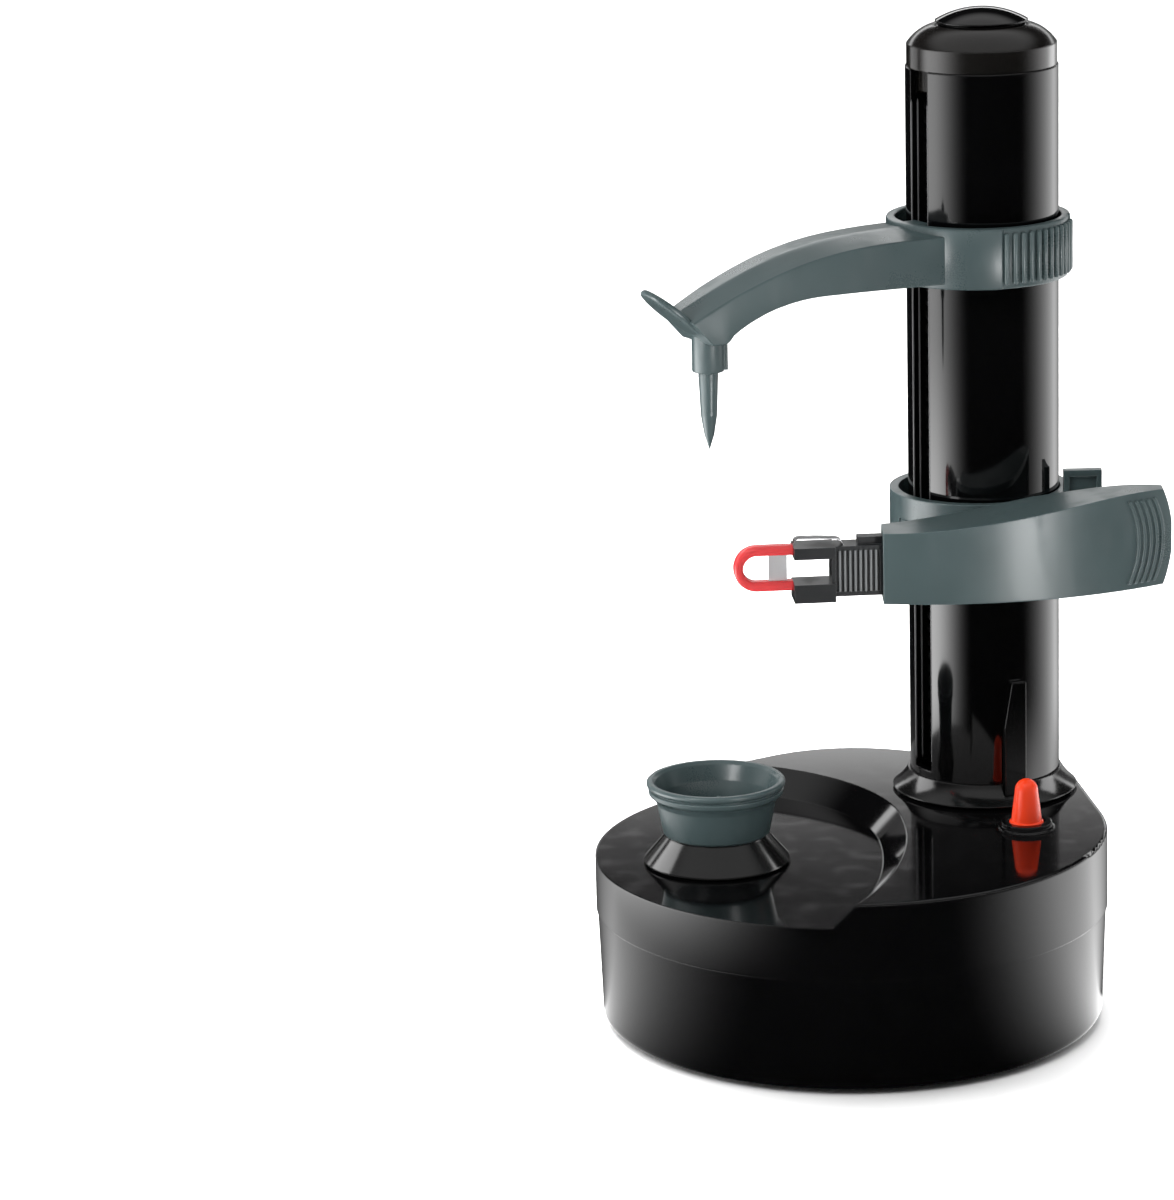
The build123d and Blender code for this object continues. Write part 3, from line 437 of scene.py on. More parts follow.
class Forms:
    """Mesh forms that several sub-assemblies share; all sizes in millimetres."""

    @staticmethod
    def skin(rings: Sequence[Sequence[Vector]], close: bool = False) -> Mesh:
        """A skin over closed rings of points, with a face at each end.

        Args:
            rings: rings with equal numbers of points.
            close: whether the last ring joins the first, without end faces.

        Returns:
            The mesh, in metres.
        """
        mesh = bmesh.new()
        rows = [[mesh.verts.new(point * MM) for point in ring] for ring in rings]
        count = len(rows[0])
        pairs = list(zip(rows, rows[1:])) + ([(rows[-1], rows[0])] if close else [])
        for low, high in pairs:
            for k in range(count):
                n = (k + 1) % count
                mesh.faces.new((low[k], low[n], high[n], high[k]))
        if not close:
            mesh.faces.new(rows[0][::-1])
            mesh.faces.new(rows[-1])
        return mesh

    @staticmethod
    def turned(profile: Sequence[Flat], axis: Vector, steps: int = 72) -> Mesh:
        """Rings of radius and height, foot first, turned about an upright axis in metres."""
        spot = axis / MM
        return Forms.skin([[polar(spot, r, a, z) for a in turns(steps)] for r, z in profile])

    @staticmethod
    def hoop(outline: Sequence[Flat], axis: Vector, steps: int = 96) -> Mesh:
        """A closed outline of radius and height, turned about an upright axis in metres."""
        spot = axis / MM
        return Forms.skin([[polar(spot, r, a, z) for r, z in outline] for a in turns(steps)], True)

    @staticmethod
    def flow(points: Sequence[Flat], at: float) -> float:
        """Height of a smooth curve through points.

        Args:
            points: the points, in rising order.
            at: where the height is wanted.

        Returns:
            The height there.
        """
        last = len(points) - 1
        k = max(0, min(last - 1, sum(1 for x, _ in points if x <= at) - 1))
        slopes = []
        for j in (k, k + 1):
            low, high = points[max(0, j - 1)], points[min(last, j + 1)]
            slopes.append((high[1] - low[1]) / (high[0] - low[0]))
        (x0, z0), (x1, z1) = points[k], points[k + 1]
        wide = x1 - x0
        t = (at - x0) / wide
        rise = (1 + 2 * t) * (1 - t) ** 2 * z0 + t * t * (3 - 2 * t) * z1
        return rise + wide * (t * (1 - t) ** 2 * slopes[0] - t * t * (1 - t) * slopes[1])

    @staticmethod
    def soft_box(wide: float, tall: float, round_r: float, steps: int = 4) -> list[Flat]:
        """Outline of a rectangle with round corners.

        Args:
            wide: its first size.
            tall: its second size.
            round_r: radius of its corners.
            steps: points on each corner.

        Returns:
            The points, anticlockwise.
        """
        points = []
        for k, (sx, sy) in enumerate(((1, 1), (-1, 1), (-1, -1), (1, -1))):
            for j in range(steps + 1):
                a = math.pi / 2 * (k + j / steps)
                x = sx * (wide / 2 - round_r) + round_r * math.cos(a)
                points.append((x, sy * (tall / 2 - round_r) + round_r * math.sin(a)))
        return points

    @staticmethod
    def screw(axis: Vector, head_r: float, shank_r: float, low: float, shoulder: float, top: float) -> Mesh:
        """A pan-head screw that stands on its head, with a cross recess and a threaded shank.

        Args:
            axis: a point of its axis, in metres.
            head_r: radius of the head.
            shank_r: radius of the shank.
            low: height of the head's face.
            shoulder: height where the shank begins.
            top: height of the shank's tip.

        Returns:
            The mesh, in metres.
        """
        spot = axis / MM
        steps, pitch, tip = 32, 0.9, 1.5
        bulge = (0.8, 0.88, 1.0, 0.88)
        tall = shoulder - low
        deep = 0.55 * tall

        def ring(r: Callable[[int], float], z: float) -> list[Vector]:
            """Points of one ring whose radius may change round it."""
            return [polar(spot, r(k), a, z) for k, a in enumerate(turns(steps))]

        def wing(k: int) -> float:
            """Radius of the cross recess: long in four directions."""
            return head_r * (0.62 if k % 8 in (0, 1, 7) else 0.24)

        rings = [
            ring(lambda k: 0.4 * wing(k), low + deep),
            ring(lambda k: 0.9 * wing(k), low + 0.8 * deep),
            ring(wing, low + 0.02),
            ring(lambda k: 0.72 * head_r, low),
            ring(lambda k: 0.92 * head_r, low + 0.18 * tall),
            ring(lambda k: head_r, low + 0.5 * tall),
            ring(lambda k: head_r, shoulder),
            ring(lambda k: bulge[0] * shank_r, shoulder),
        ]
        for n in range(1, int((top - shoulder - tip) / (pitch / 4))):
            height = shoulder + n * pitch / 4
            rings.append(ring(lambda k, n=n: shank_r * bulge[(n + k * 4 // steps) % 4], height))
        rings.append(ring(lambda k: 0.15, top))
        return Forms.skin(rings)

    @staticmethod
    def merge(*meshes: Mesh) -> Mesh:
        """Joins meshes into one.

        Args:
            meshes: the meshes, which are used up.

        Returns:
            The joined mesh.
        """
        whole = bmesh.new()
        for part in meshes:
            data = bpy.data.meshes.new("merge")
            part.to_mesh(data)
            part.free()
            whole.from_mesh(data)
            bpy.data.meshes.remove(data)
        return whole


class Workshop:
    """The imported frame, with the calls that every sub-assembly needs."""

    def __init__(self, frame: dict[str, Any]) -> None:
        """Keeps the frame and the axes that the pieces are set out from."""
        self.nodes: dict[str, bpy.types.Object] = frame["nodes"]
        self.tower = self.middle("tower_tube")
        self.food = self.middle("food_cup")
        self.worn: dict[Look, list[bpy.types.Object]] = {look: [] for look in Look}

    @staticmethod
    def middle(node: str) -> Vector:
        """Middle of a node's box, in metres, at height 0."""
        low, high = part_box(node)
        return Vector(((low[0] + high[0]) / 2, (low[1] + high[1]) / 2, 0.0))

    def face(self) -> Matrix:
        """Where the slanted face of the carriage stands: its axes about the tower's, in millimetres."""
        return Matrix.Translation(self.tower / MM) @ Matrix.Rotation(FACE_TURN, 4, "Z")

    def whole(self, node: str) -> Mesh:
        """Copies a node's mesh and joins its faces.

        Args:
            node: the node's name.

        Returns:
            The copy.
        """
        mesh = bmesh.new()
        mesh.from_mesh(self.nodes[node].data)
        bmesh.ops.remove_doubles(mesh, verts=mesh.verts, dist=JOIN)
        return mesh

    def paint(self, look: Look, *nodes: str) -> None:
        """Gives CAD nodes a finish.

        Args:
            look: the finish.
            nodes: names of the nodes.
        """
        for name in nodes:
            node = self.nodes[name]
            if not node.material_slots:
                node.data.materials.append(None)
            for place in node.material_slots:
                place.link = "OBJECT"
                place.material = look.value.material()
            self.worn[look].append(node)
            LOG.info("node %s dressed in %s", name, look.value.slot)

    def spots(self, node: str) -> list[tuple[Vector, float, float]]:
        """Where the separate solids of a node stand.

        Args:
            node: the node's name.

        Returns:
            For each solid its middle at height 0, its lowest and its highest level, in metres.
        """
        mesh = self.whole(node)
        left = set(mesh.verts)
        found = []
        while left:
            start = left.pop()
            group, queue = [start], [start]
            while queue:
                for edge in queue.pop().link_edges:
                    for vert in edge.verts:
                        if vert in left:
                            left.discard(vert)
                            group.append(vert)
                            queue.append(vert)
            ends = [(min(row), max(row)) for row in zip(*(vert.co for vert in group))]
            middle = Vector((sum(ends[0]) / 2, sum(ends[1]) / 2, 0.0))
            found.append((middle, *ends[2]))
        mesh.free()
        return sorted(found, key=lambda item: (item[0].x, item[0].y))

    def skinned(self, node: str, name: str, body: str, look: Look) -> bpy.types.Object:
        """Makes a piece that has a node's own shape and stands for it, in another finish."""
        return self.piece(name, self.whole(node), body, look, [node])

    def piece(
        self,
        name: str,
        mesh: Mesh,
        body: str,
        look: Look,
        stands_for: Sequence[str] = (),
        bends: tuple[str, Vector, Vector] | None = None,
    ) -> bpy.types.Object:
        """Makes an object of a mesh and hands it to a body, unless it bends.

        Args:
            name: the object's name.
            mesh: its mesh in metres, in the shared frame.
            body: the CAD body that it rides on.
            look: its finish.
            stands_for: CAD nodes that it replaces.
            bends: for a piece that bends, the second body and where the bend begins and ends; only whether it
                is given is read, and then the piece is left unattached.

        Returns:
            The object.
        """
        bmesh.ops.recalc_face_normals(mesh, faces=mesh.faces)
        data = bpy.data.meshes.new(name)
        mesh.to_mesh(data)
        mesh.free()
        data.shade_smooth()
        data.set_sharp_from_angle(angle=SHARP)
        data.materials.append(look.value.material())
        made = add_object(name, data)
        if bends is None:
            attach(made, body)
        else:
            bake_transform(made)
        if stands_for:
            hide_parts(*stands_for)
        self.worn[look].append(made)
        LOG.info("piece %s on %s", name, body)
        return made


@dataclass
class SubAssembly:
    """A group of pieces that are built and dressed together."""

    nodes: ClassVar[dict[Look, tuple[str, ...]]] = {}

    shop: Workshop

    def build(self) -> None:
        """Makes the group's own pieces; a group of CAD nodes alone has none."""

    def dress(self) -> None:
        """Gives the group's CAD nodes their finishes."""
        for look, names in self.nodes.items():
            self.shop.paint(look, *names)


@dataclass
class BaseHousing(SubAssembly):
    """Lower shell, upper cover, feet, battery bay and socket."""

    nodes = {
        Look.GLOSS: ("base_shell", "base_cover"),
        Look.RUBBER: ("rubber_feet",),
        Look.SATIN: ("battery_bay", "battery_door", "power_socket"),
        Look.STEEL: ("battery_contacts",),
    }

    head_h: float = 2.0
    head_r: float = 3.0
    shank_r: float = 1.45

    def build(self) -> None:
        """Makes the four cover screws."""
        screws = []
        for spot, low, high in self.shop.spots("cover_screws"):
            foot = low / MM
            screws.append(Forms.screw(spot, self.head_r, self.shank_r, foot, foot + self.head_h, high / MM))
        self.shop.piece("cover_bolts", Forms.merge(*screws), "base", Look.STEEL, ["cover_screws"])


@dataclass
class SwitchGroup(SubAssembly):
    """Red cap, stop finger, rocker and micro switch."""

    nodes = {
        Look.GLOSS: ("stop_finger",),
        Look.SATIN: ("switch_rocker", "micro_switch"),
        Look.STEEL: ("rocker_pin",),
    }

    rim_r: float = 4.85
    foot_r: float = 4.3
    neck_r: float = 3.25
    stem_r: float = 2.4
    cap_h: float = 13.8
    rim_h: float = 2.2
    cone_cuts: int = 6
    dome_cuts: int = 10
    well_r: float = 7.2
    well_drop: float = 0.5

    def build(self) -> None:
        """Turns the red cap, and the ledge round its well."""
        low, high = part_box("switch_button")
        axis = self.shop.middle("switch_button")
        tip, top = low[2] / MM, high[2] / MM
        foot, shoulder = top - self.cap_h, top - self.neck_r
        rim, wide, neck, stem = self.rim_r, self.foot_r, self.neck_r, self.stem_r
        profile = [(0.3, tip), (0.7, tip), (stem, tip + 2.5), (stem, foot), (rim - 0.2, foot)]
        profile += [(rim, foot + 0.2), (rim, foot + 1.3), (rim - 0.15, foot + 1.55)]
        profile += [(wide, foot + 1.7), (wide - 0.05, foot + self.rim_h)]
        for k in range(1, self.cone_cuts + 1):
            rise = (shoulder - foot - self.rim_h) * k / self.cone_cuts
            profile.append((wide + (neck - wide) * k / self.cone_cuts, foot + self.rim_h + rise))
        for k in range(1, self.dome_cuts + 1):
            a = math.pi / 2 * k / self.dome_cuts
            profile.append((max(0.05, neck * math.cos(a)), shoulder + neck * math.sin(a)))
        self.shop.piece("start_cap", Forms.turned(profile, axis, 64), "button", Look.RED, ["switch_button"])
        deck, well = foot - self.well_drop, self.well_r
        lip = [(well - 0.3, deck - 0.3), (well + 0.9, deck - 0.3), (well + 0.9, deck + 0.35)]
        lip += [(well + 0.55, deck + 0.7), (well - 0.3, deck + 0.75)]
        self.shop.piece("well_ledge", Forms.hoop(lip, axis), "base", Look.GLOSS)


@dataclass
class DriveTrain(SubAssembly):
    """Motor, gears, shafts and bearings inside the base."""

    nodes = {
        Look.SATIN: ("gear_plate", "motor_end_cap"),
        Look.STEEL: (
            "plate_screws", "gear_axles", "motor_can", "motor_screws", "motor_shaft", "spindle_shaft"
        ),
        Look.BRASS: ("motor_pinion", "spindle_bush", "screw_top_bush"),
        Look.ACETAL: ("mid_gear", "low_gear", "idler_gear", "spindle_gear", "screw_gear"),
    }


@dataclass
class Tower(SubAssembly):
    """Slotted column with collar, cap, plug and feed screw."""

    nodes = {
        Look.GLOSS: ("tower_tube", "cap_plug"),
        Look.CAP: ("tower_cap",),
        Look.SKIRT: ("tower_collar",),
    }

    thread_r: float = 3.35
    core_r: float = 2.5
    pitch: float = 4.0
    pitch_cuts: int = 10
    round_cuts: int = 32
    thread_low: float = 62.0
    thread_end: float = 6.0
    tip_cut: float = 0.3
    slot_half: float = 4.1
    bead_x: tuple[float, ...] = (-20.9, -18.8)
    bead_r: float = 0.26
    bead_low: float = 66.0
    bead_high: float = 257.5

    def build(self) -> None:
        """Makes the feed screw and painted glints along the slot's edges."""
        self.make_screw()
        self.make_glints()

    def make_screw(self) -> None:
        """Cuts the thread of the feed screw, between plain ends."""
        low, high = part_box("lead_screw")
        spot = self.shop.middle("lead_screw") / MM
        foot, head = low[2] / MM, high[2] / MM
        step = self.pitch / self.pitch_cuts
        count = int((head - self.thread_end - self.thread_low) / step)
        heights = [foot, foot + 0.4, self.thread_low]
        heights += [self.thread_low + step * (k + 1) for k in range(count)]
        heights += [head - 5.6, head - 0.4, head]
        last = len(heights) - 1
        rings = []
        for k, z in enumerate(heights):
            ring = []
            for j, a in enumerate(turns(self.round_cuts)):
                r = self.tooth(z / self.pitch - j / self.round_cuts) if 2 < k < last - 2 else self.core_r
                ring.append(polar(spot, r - self.tip_cut if k in (0, last) else r, a, z))
            rings.append(ring)
        self.shop.piece("feed_screw", Forms.skin(rings), "screw", Look.STEEL, ["lead_screw"])

    def make_glints(self) -> None:
        """Paints glints on the slot's edges: a thin pale bead along each, a painted highlight."""
        low, high, r = self.bead_low, self.bead_high, self.bead_r
        profile = [(0.05, low), (r, low + 1.0), (r, high - 1.0), (0.05, high)]
        axis = self.shop.tower / MM
        beads = []
        for x in self.bead_x:
            for side in (-1, 1):
                spot = Vector((axis.x + x, axis.y + side * self.slot_half, 0.0)) * MM
                beads.append(Forms.turned(profile, spot, 10))
        self.shop.piece("slot_glints", Forms.merge(*beads), "base", Look.SLOT_GLINT)

    def tooth(self, wound: float) -> float:
        """Radius of the thread.

        Args:
            wound: turns of the thread up to that point.

        Returns:
            The radius there.
        """
        part = abs((wound % 1.0) * 2 - 1)
        lift = min(1.0, max(0.0, (part - 0.3) / 0.35))
        return self.core_r + (self.thread_r - self.core_r) * lift


@dataclass
class CupDrive(SubAssembly):
    """Food cup on its black skirt."""

    nodes = {Look.SLATE: ("food_cup",), Look.SKIRT: ("drive_cone",)}


@dataclass
class Carriage(SubAssembly):
    """Lower ring with its half nut, pin and leaf spring."""

    nodes = {Look.SLATE: ("carriage_ring",), Look.STEEL: ("pivot_pin",)}

    leaf: tuple[Flat, ...] = ((11.95, -22.45), (11.98, -23.6), (12.5, -24.9), (13.6, -26.2), (28.4, -43.9))
    leaf_low: float = 130.0
    leaf_high: float = 138.0
    leaf_t: float = 0.6
    leaf_round: float = 0.2
    leaf_cuts: int = 14

    def build(self) -> None:
        """Bends the leaf spring between ring and lever, and gives the half nut the ring's finish."""
        points = [Vector((x, y, 0.0)) for x, y in self.leaf]
        run = points[-1] - points[-2]
        line = points[:-1] + [points[-2] + run * (k + 1) / self.leaf_cuts for k in range(self.leaf_cuts)]
        place = self.shop.face()
        mid = Vector((0.0, 0.0, (self.leaf_low + self.leaf_high) / 2))
        outline = Forms.soft_box(self.leaf_t, self.leaf_high - self.leaf_low, self.leaf_round, 2)
        rings = []
        for k, point in enumerate(line):
            along = (line[min(k + 1, len(line) - 1)] - line[max(k - 1, 0)]).normalized()
            across = Vector((-along.y, along.x, 0.0))
            rings.append([place @ (point + mid + across * a + Vector((0.0, 0.0, z))) for a, z in outline])
        bends = ("lever", (place @ (points[2] + mid)) * MM, (place @ (points[-1] + mid)) * MM)
        self.shop.piece("leaf_spring", Forms.skin(rings), "carriage", Look.STEEL, ["lever_spring"], bends)
        self.shop.skinned("half_nut", "nut_slide", "nut", Look.SLATE)


@dataclass
class BladeLever(SubAssembly):
    """Lever with holder, red guide and blade."""

    nodes = {
        Look.SLATE: ("peeling_lever",),
        Look.RIBBED: ("blade_holder",),
        Look.STEEL: ("peeling_blade",),
    }

    root: Point = (-31.5, -46.84, 133.31)
    holder_turn: float = math.radians(184.0)
    reach: float = 25.0
    guide_len: float = 16.5
    guide_h: float = 12.7
    guide_wall: float = 2.6
    guide_t: float = 5.0
    guide_lift: float = 0.9
    guide_round: float = 1.05
    guide_gap: float = 0.05
    bow_cuts: int = 24
    leg_cuts: int = 6
    crests: int = 8
    crest_from: float = 2.22
    crest_step: float = 1.4375
    crest_w: float = 0.62
    crest_half: float = 5.85
    crest_v: float = 4.0
    crest_t: float = 0.14
    clip_t: float = 0.35
    clip_w: float = 3.4
    clip: tuple[Flat, ...] = (
        (11.0, 7.0), (11.8, 8.3), (13.0, 8.8), (18.0, 9.1), (23.5, 9.2), (24.6, 8.7), (25.0, 7.0)
    )

    def out(self, u: float, v: float, z: float) -> Vector:
        """A point of the blade holder in the shared frame: out from the lever's end, across and up."""
        place = self.shop.face() @ Matrix.Translation(self.root) @ Matrix.Rotation(self.holder_turn, 4, "Z")
        return place @ Vector((u, v, z))

    def build(self) -> None:
        """Makes the red guide, the fork's clip and painted highlight bars on the holder's crests."""
        self.make_guide()
        self.make_clip()
        self.make_crest_highlights()

    def make_guide(self) -> None:
        """Bends the red guide loop: a straight leg, a half round and the leg back."""
        mid = (self.guide_h - self.guide_wall) / 2
        start, tip = self.reach, self.reach + self.guide_len - self.guide_h / 2
        legs = [start + self.guide_gap]
        legs += [start + (tip - start) * k / self.leg_cuts for k in range(1, self.leg_cuts)]
        path = [(u, mid, 0.0, 1.0) for u in legs]
        for k in range(self.bow_cuts + 1):
            a = math.pi / 2 - math.pi * k / self.bow_cuts
            path.append((tip + mid * math.cos(a), mid * math.sin(a), math.cos(a), math.sin(a)))
        path += [(u, -mid, 0.0, -1.0) for u in reversed(legs)]
        outline = Forms.soft_box(self.guide_wall, self.guide_t, self.guide_round)
        rings = []
        for u, z, nu, nz in path:
            rings.append([self.out(u + a * nu, v, self.guide_lift + z + a * nz) for a, v in outline])
        self.shop.piece("guide_loop", Forms.skin(rings), "lever", Look.GUIDE, ["blade_guide"])

    def make_clip(self) -> None:
        """Bends the thin strip over the fork."""
        outline = Forms.soft_box(self.clip_t, self.clip_w, 0.12, 2)
        rings = [[self.out(u, v, z + a) for a, v in outline] for u, z in self.clip]
        self.shop.piece("fork_clip", Forms.skin(rings), "lever", Look.STEEL)

    def make_crest_highlights(self) -> None:
        """Lays a pale bar on each crest between the holder's grooves, on both sides: a painted highlight."""
        outline = Forms.soft_box(self.crest_w, self.crest_t, 0.05, 2)
        ends = (-self.crest_half, self.crest_half)
        bars = []
        for k in range(self.crests):
            u = self.crest_from + k * self.crest_step
            for v in (-self.crest_v, self.crest_v):
                bars.append(Forms.skin([[self.out(u + a, v + b, z) for a, b in outline] for z in ends]))
        self.shop.piece("holder_crest_highlights", Forms.merge(*bars), "lever", Look.CREST_HIGHLIGHT)


@dataclass
class UpperArm(SubAssembly):
    """Upper hoop with its ribs, the curved arm, thumb leaf and boss, and the turning pin."""

    nodes = {Look.SLATE: ("top_pin",)}

    low: float = 206.5
    high: float = 223.7
    shift: float = 1.5
    bore: float = 23.35
    outer: float = 25.95
    chamfer: float = 0.6
    hoop_cuts: int = 360
    ribs: int = 13
    rib_r: float = 0.75
    rib_from: float = math.radians(-106.0)
    rib_step: float = math.radians(5.6)
    grip_cut: float = 0.5
    rib_inset: float = 1.3
    rib_out: float = 0.05
    key_x: Flat = (-24.6, -20.6)
    key_w: float = 7.5
    key_gap: float = 0.4
    wing_cuts: int = 36
    root_run: float = 3.2
    root_sink: float = 0.7
    root_half: float = 15.0
    tip_half: float = 8.5
    root_x: float = -25.0
    tip_x: float = -100.5
    tip_lean: float = 6.5
    lean_x: float = -88.0
    edge: float = 0.5
    crown: float = 1.4
    ridge: tuple[float, ...] = (0.02, 0.2, 0.4, 0.48, 0.52, 0.6, 0.8, 0.98)
    over: tuple[Flat, ...] = (
        (-101.5, 204.6), (-97.0, 206.9), (-92.0, 209.3), (-86.0, 211.9), (-76.0, 215.5),
        (-66.0, 218.3), (-55.0, 220.3), (-45.0, 221.2), (-34.0, 221.5), (-20.0, 221.4),
    )
    under: tuple[Flat, ...] = (
        (-101.5, 198.1), (-93.0, 198.2), (-91.0, 198.7), (-89.0, 199.9), (-84.0, 202.9),
        (-76.0, 206.2), (-66.0, 208.2), (-55.0, 208.5), (-34.0, 208.2), (-20.0, 207.8),
    )
    leaf_long: float = 11.7
    leaf_half: float = 7.0
    leaf_tilt: float = math.radians(40.0)
    leaf_in: float = 0.7
    leaf_skin: tuple[Flat, ...] = (
        (0.02, 0.75), (0.6, 0.8), (0.9, 0.95), (0.97, 0.8), (1.0, 0.2),
        (1.0, -0.2), (0.97, -0.7), (0.9, -0.9), (0.6, -0.95), (0.02, -1.0),
    )
    boss_r: float = 4.5
    boss_low: float = 189.4
    boss_drop: float = 6.0
    pin_gap: float = 1.6
    fin: Flat = (1.6, 1.2)
    fin_out: float = 0.2

    def build(self) -> None:
        """Makes hoop, arm, leaf and boss."""
        self.make_hoop()
        self.make_wing()
        self.make_leaf()
        self.make_boss()

    def make_hoop(self) -> None:
        """The hoop round the column, with grip ribs and the key in the slot."""
        centre = self.shop.tower - Vector((self.shift * MM, 0.0, 0.0))
        low, high, bore, outer, cut = self.low, self.high, self.bore, self.outer, self.chamfer
        part = 0.3 * cut
        outline = [(bore, low + cut / 2), (bore + cut / 2, low), (outer - cut, low)]
        outline += [(outer - part, low + part), (outer, low + cut), (outer, high - cut)]
        outline += [(outer - part, high - part), (outer - cut, high)]
        outline += [(bore + cut / 2, high), (bore, high - cut / 2)]
        first, last = self.rib_from - self.rib_step / 2, self.rib_from + (self.ribs - 0.5) * self.rib_step
        sections = []
        for k in range(self.hoop_cuts):
            a = math.radians(360 * k / self.hoop_cuts - 180)
            sunk = self.grip_cut if first < a < last else 0.0
            points = [(r - sunk if r > bore + cut else r, z) for r, z in outline]
            sections.append([polar(centre / MM, r, a, z) for r, z in points])
        tower, middle = self.shop.tower / MM, (low + high) / 2
        side = Forms.soft_box(self.key_w, high - low - self.key_gap, 0.5)
        key = [[Vector((tower.x + x, tower.y + y, middle + z)) for y, z in side] for x in self.key_x]
        forms = Forms.merge(Forms.skin(sections, True), Forms.skin(key))
        self.shop.piece("arm_hoop", forms, "arm", Look.SLATE, ["top_arm"])
        foot, head, r = low + self.rib_inset, high - self.rib_inset, self.rib_r
        bar = [(0.05, foot), (0.75 * r, foot + 0.2), (r, foot + 0.7)]
        bar += [(r, head - 0.7), (0.75 * r, head - 0.2), (0.05, head)]
        grip = []
        for k in range(self.ribs):
            a = self.rib_from + k * self.rib_step
            grip.append(Forms.turned(bar, polar(centre, (outer + self.rib_out) * MM, a, 0.0), 16))
        # the ribs take the paler slate: a painted highlight on their crests
        self.shop.piece("grip_ribs", Forms.merge(*grip), "arm", Look.GRIP_HIGHLIGHT)

    def make_wing(self) -> None:
        """The curved arm, which narrows towards the pin."""
        tower = self.shop.tower / MM
        start, long = self.root_x - self.root_run, self.tip_x - self.root_x
        rings = []
        for k in range(self.wing_cuts + 1):
            x = start + (self.tip_x - start) * (k - 1) / (self.wing_cuts - 1) if k else self.root_x
            half = self.root_half + (self.tip_half - self.root_half) * (x - self.root_x) / long
            top, foot = Forms.flow(self.over, x), Forms.flow(self.under, x)
            ring = []
            for y, z in self.crowned(Forms.soft_box(2 * half, top - foot, self.edge, 5)):
                lean = self.tip_lean * max(0.0, (x - self.lean_x) / (self.tip_x - self.lean_x))
                bent = x + lean * (0.5 - z / (top - foot))
                if k == 0:
                    bent = -self.shift - math.sqrt((self.outer - self.root_sink) ** 2 - y * y)
                ring.append(Vector((tower.x + bent, tower.y + y, (top + foot) / 2 + z)))
            rings.append(ring)
        self.shop.piece("arm_wing", Forms.skin(rings), "arm", Look.SLATE)

    def crowned(self, outline: Sequence[Flat]) -> list[Flat]:
        """Raises the upper side of the arm's section to a ridge.

        Args:
            outline: the section's points, across and up.

        Returns:
            The section with points added along its upper side.
        """
        made: list[Flat] = []
        for (y, z), (next_y, next_z) in zip(outline, list(outline[1:]) + [outline[0]]):
            made.append((y, z))
            if y * next_y < 0 and z > 0 and next_z > 0:
                for share in self.ridge:
                    rise = self.crown * min(2 * min(share, 1 - share), 0.95)
                    made.append((y + (next_y - y) * share, z + rise))
        return made

    def make_leaf(self) -> None:
        """The thumb leaf at the arm's end."""
        food = self.shop.food / MM
        root = Matrix.Translation((food.x - self.leaf_long + self.leaf_in, food.y, self.low))
        place = root @ Matrix.Rotation(self.leaf_tilt, 4, "Y")
        rings = []
        for size, lift in self.leaf_skin:
            wide, tall = size * self.leaf_long, size * self.leaf_half
            rings.append([place @ Vector((wide * math.cos(a), tall * math.sin(a), lift)) for a in turns(64)])
        self.shop.piece("thumb_leaf", Forms.skin(rings), "arm", Look.SLATE)

    def make_boss(self) -> None:
        """The boss of the turning pin, with its fin."""
        r, low, high, gap = self.boss_r, self.boss_low, self.low - self.boss_drop, self.pin_gap
        outline = [(gap, low), (r - 0.5, low), (r - 0.15, low + 0.15), (r, low + 0.5), (r, high), (gap, high)]
        side = Matrix.Rotation(-VIEW_TURN, 3, "Z") @ Vector((1.0, 0.0, 0.0))
        across = Vector((-side.y, side.x, 0.0))
        food = self.shop.food / MM
        box = Forms.soft_box(*self.fin, 0.3, 3)
        ring = [food + side * (r + self.fin_out + a) + across * b for a, b in box]
        fin = [[Vector((point.x, point.y, z)) for point in ring] for z in (low + 0.4, high)]
        forms = Forms.merge(Forms.hoop(outline, self.shop.food, 64), Forms.skin(fin))
        self.shop.piece("arm_boss", forms, "arm", Look.SLATE)


@dataclass
class Lamp:
    """One soft lamp of the studio, set out from the object as the camera sees it."""

    name: str
    right: float
    away: float
    up: float
    wide: float
    tall: float
    watts: float
    aim: float = 0.13
    only: tuple[Look, ...] = ()
    floor_only: bool = False


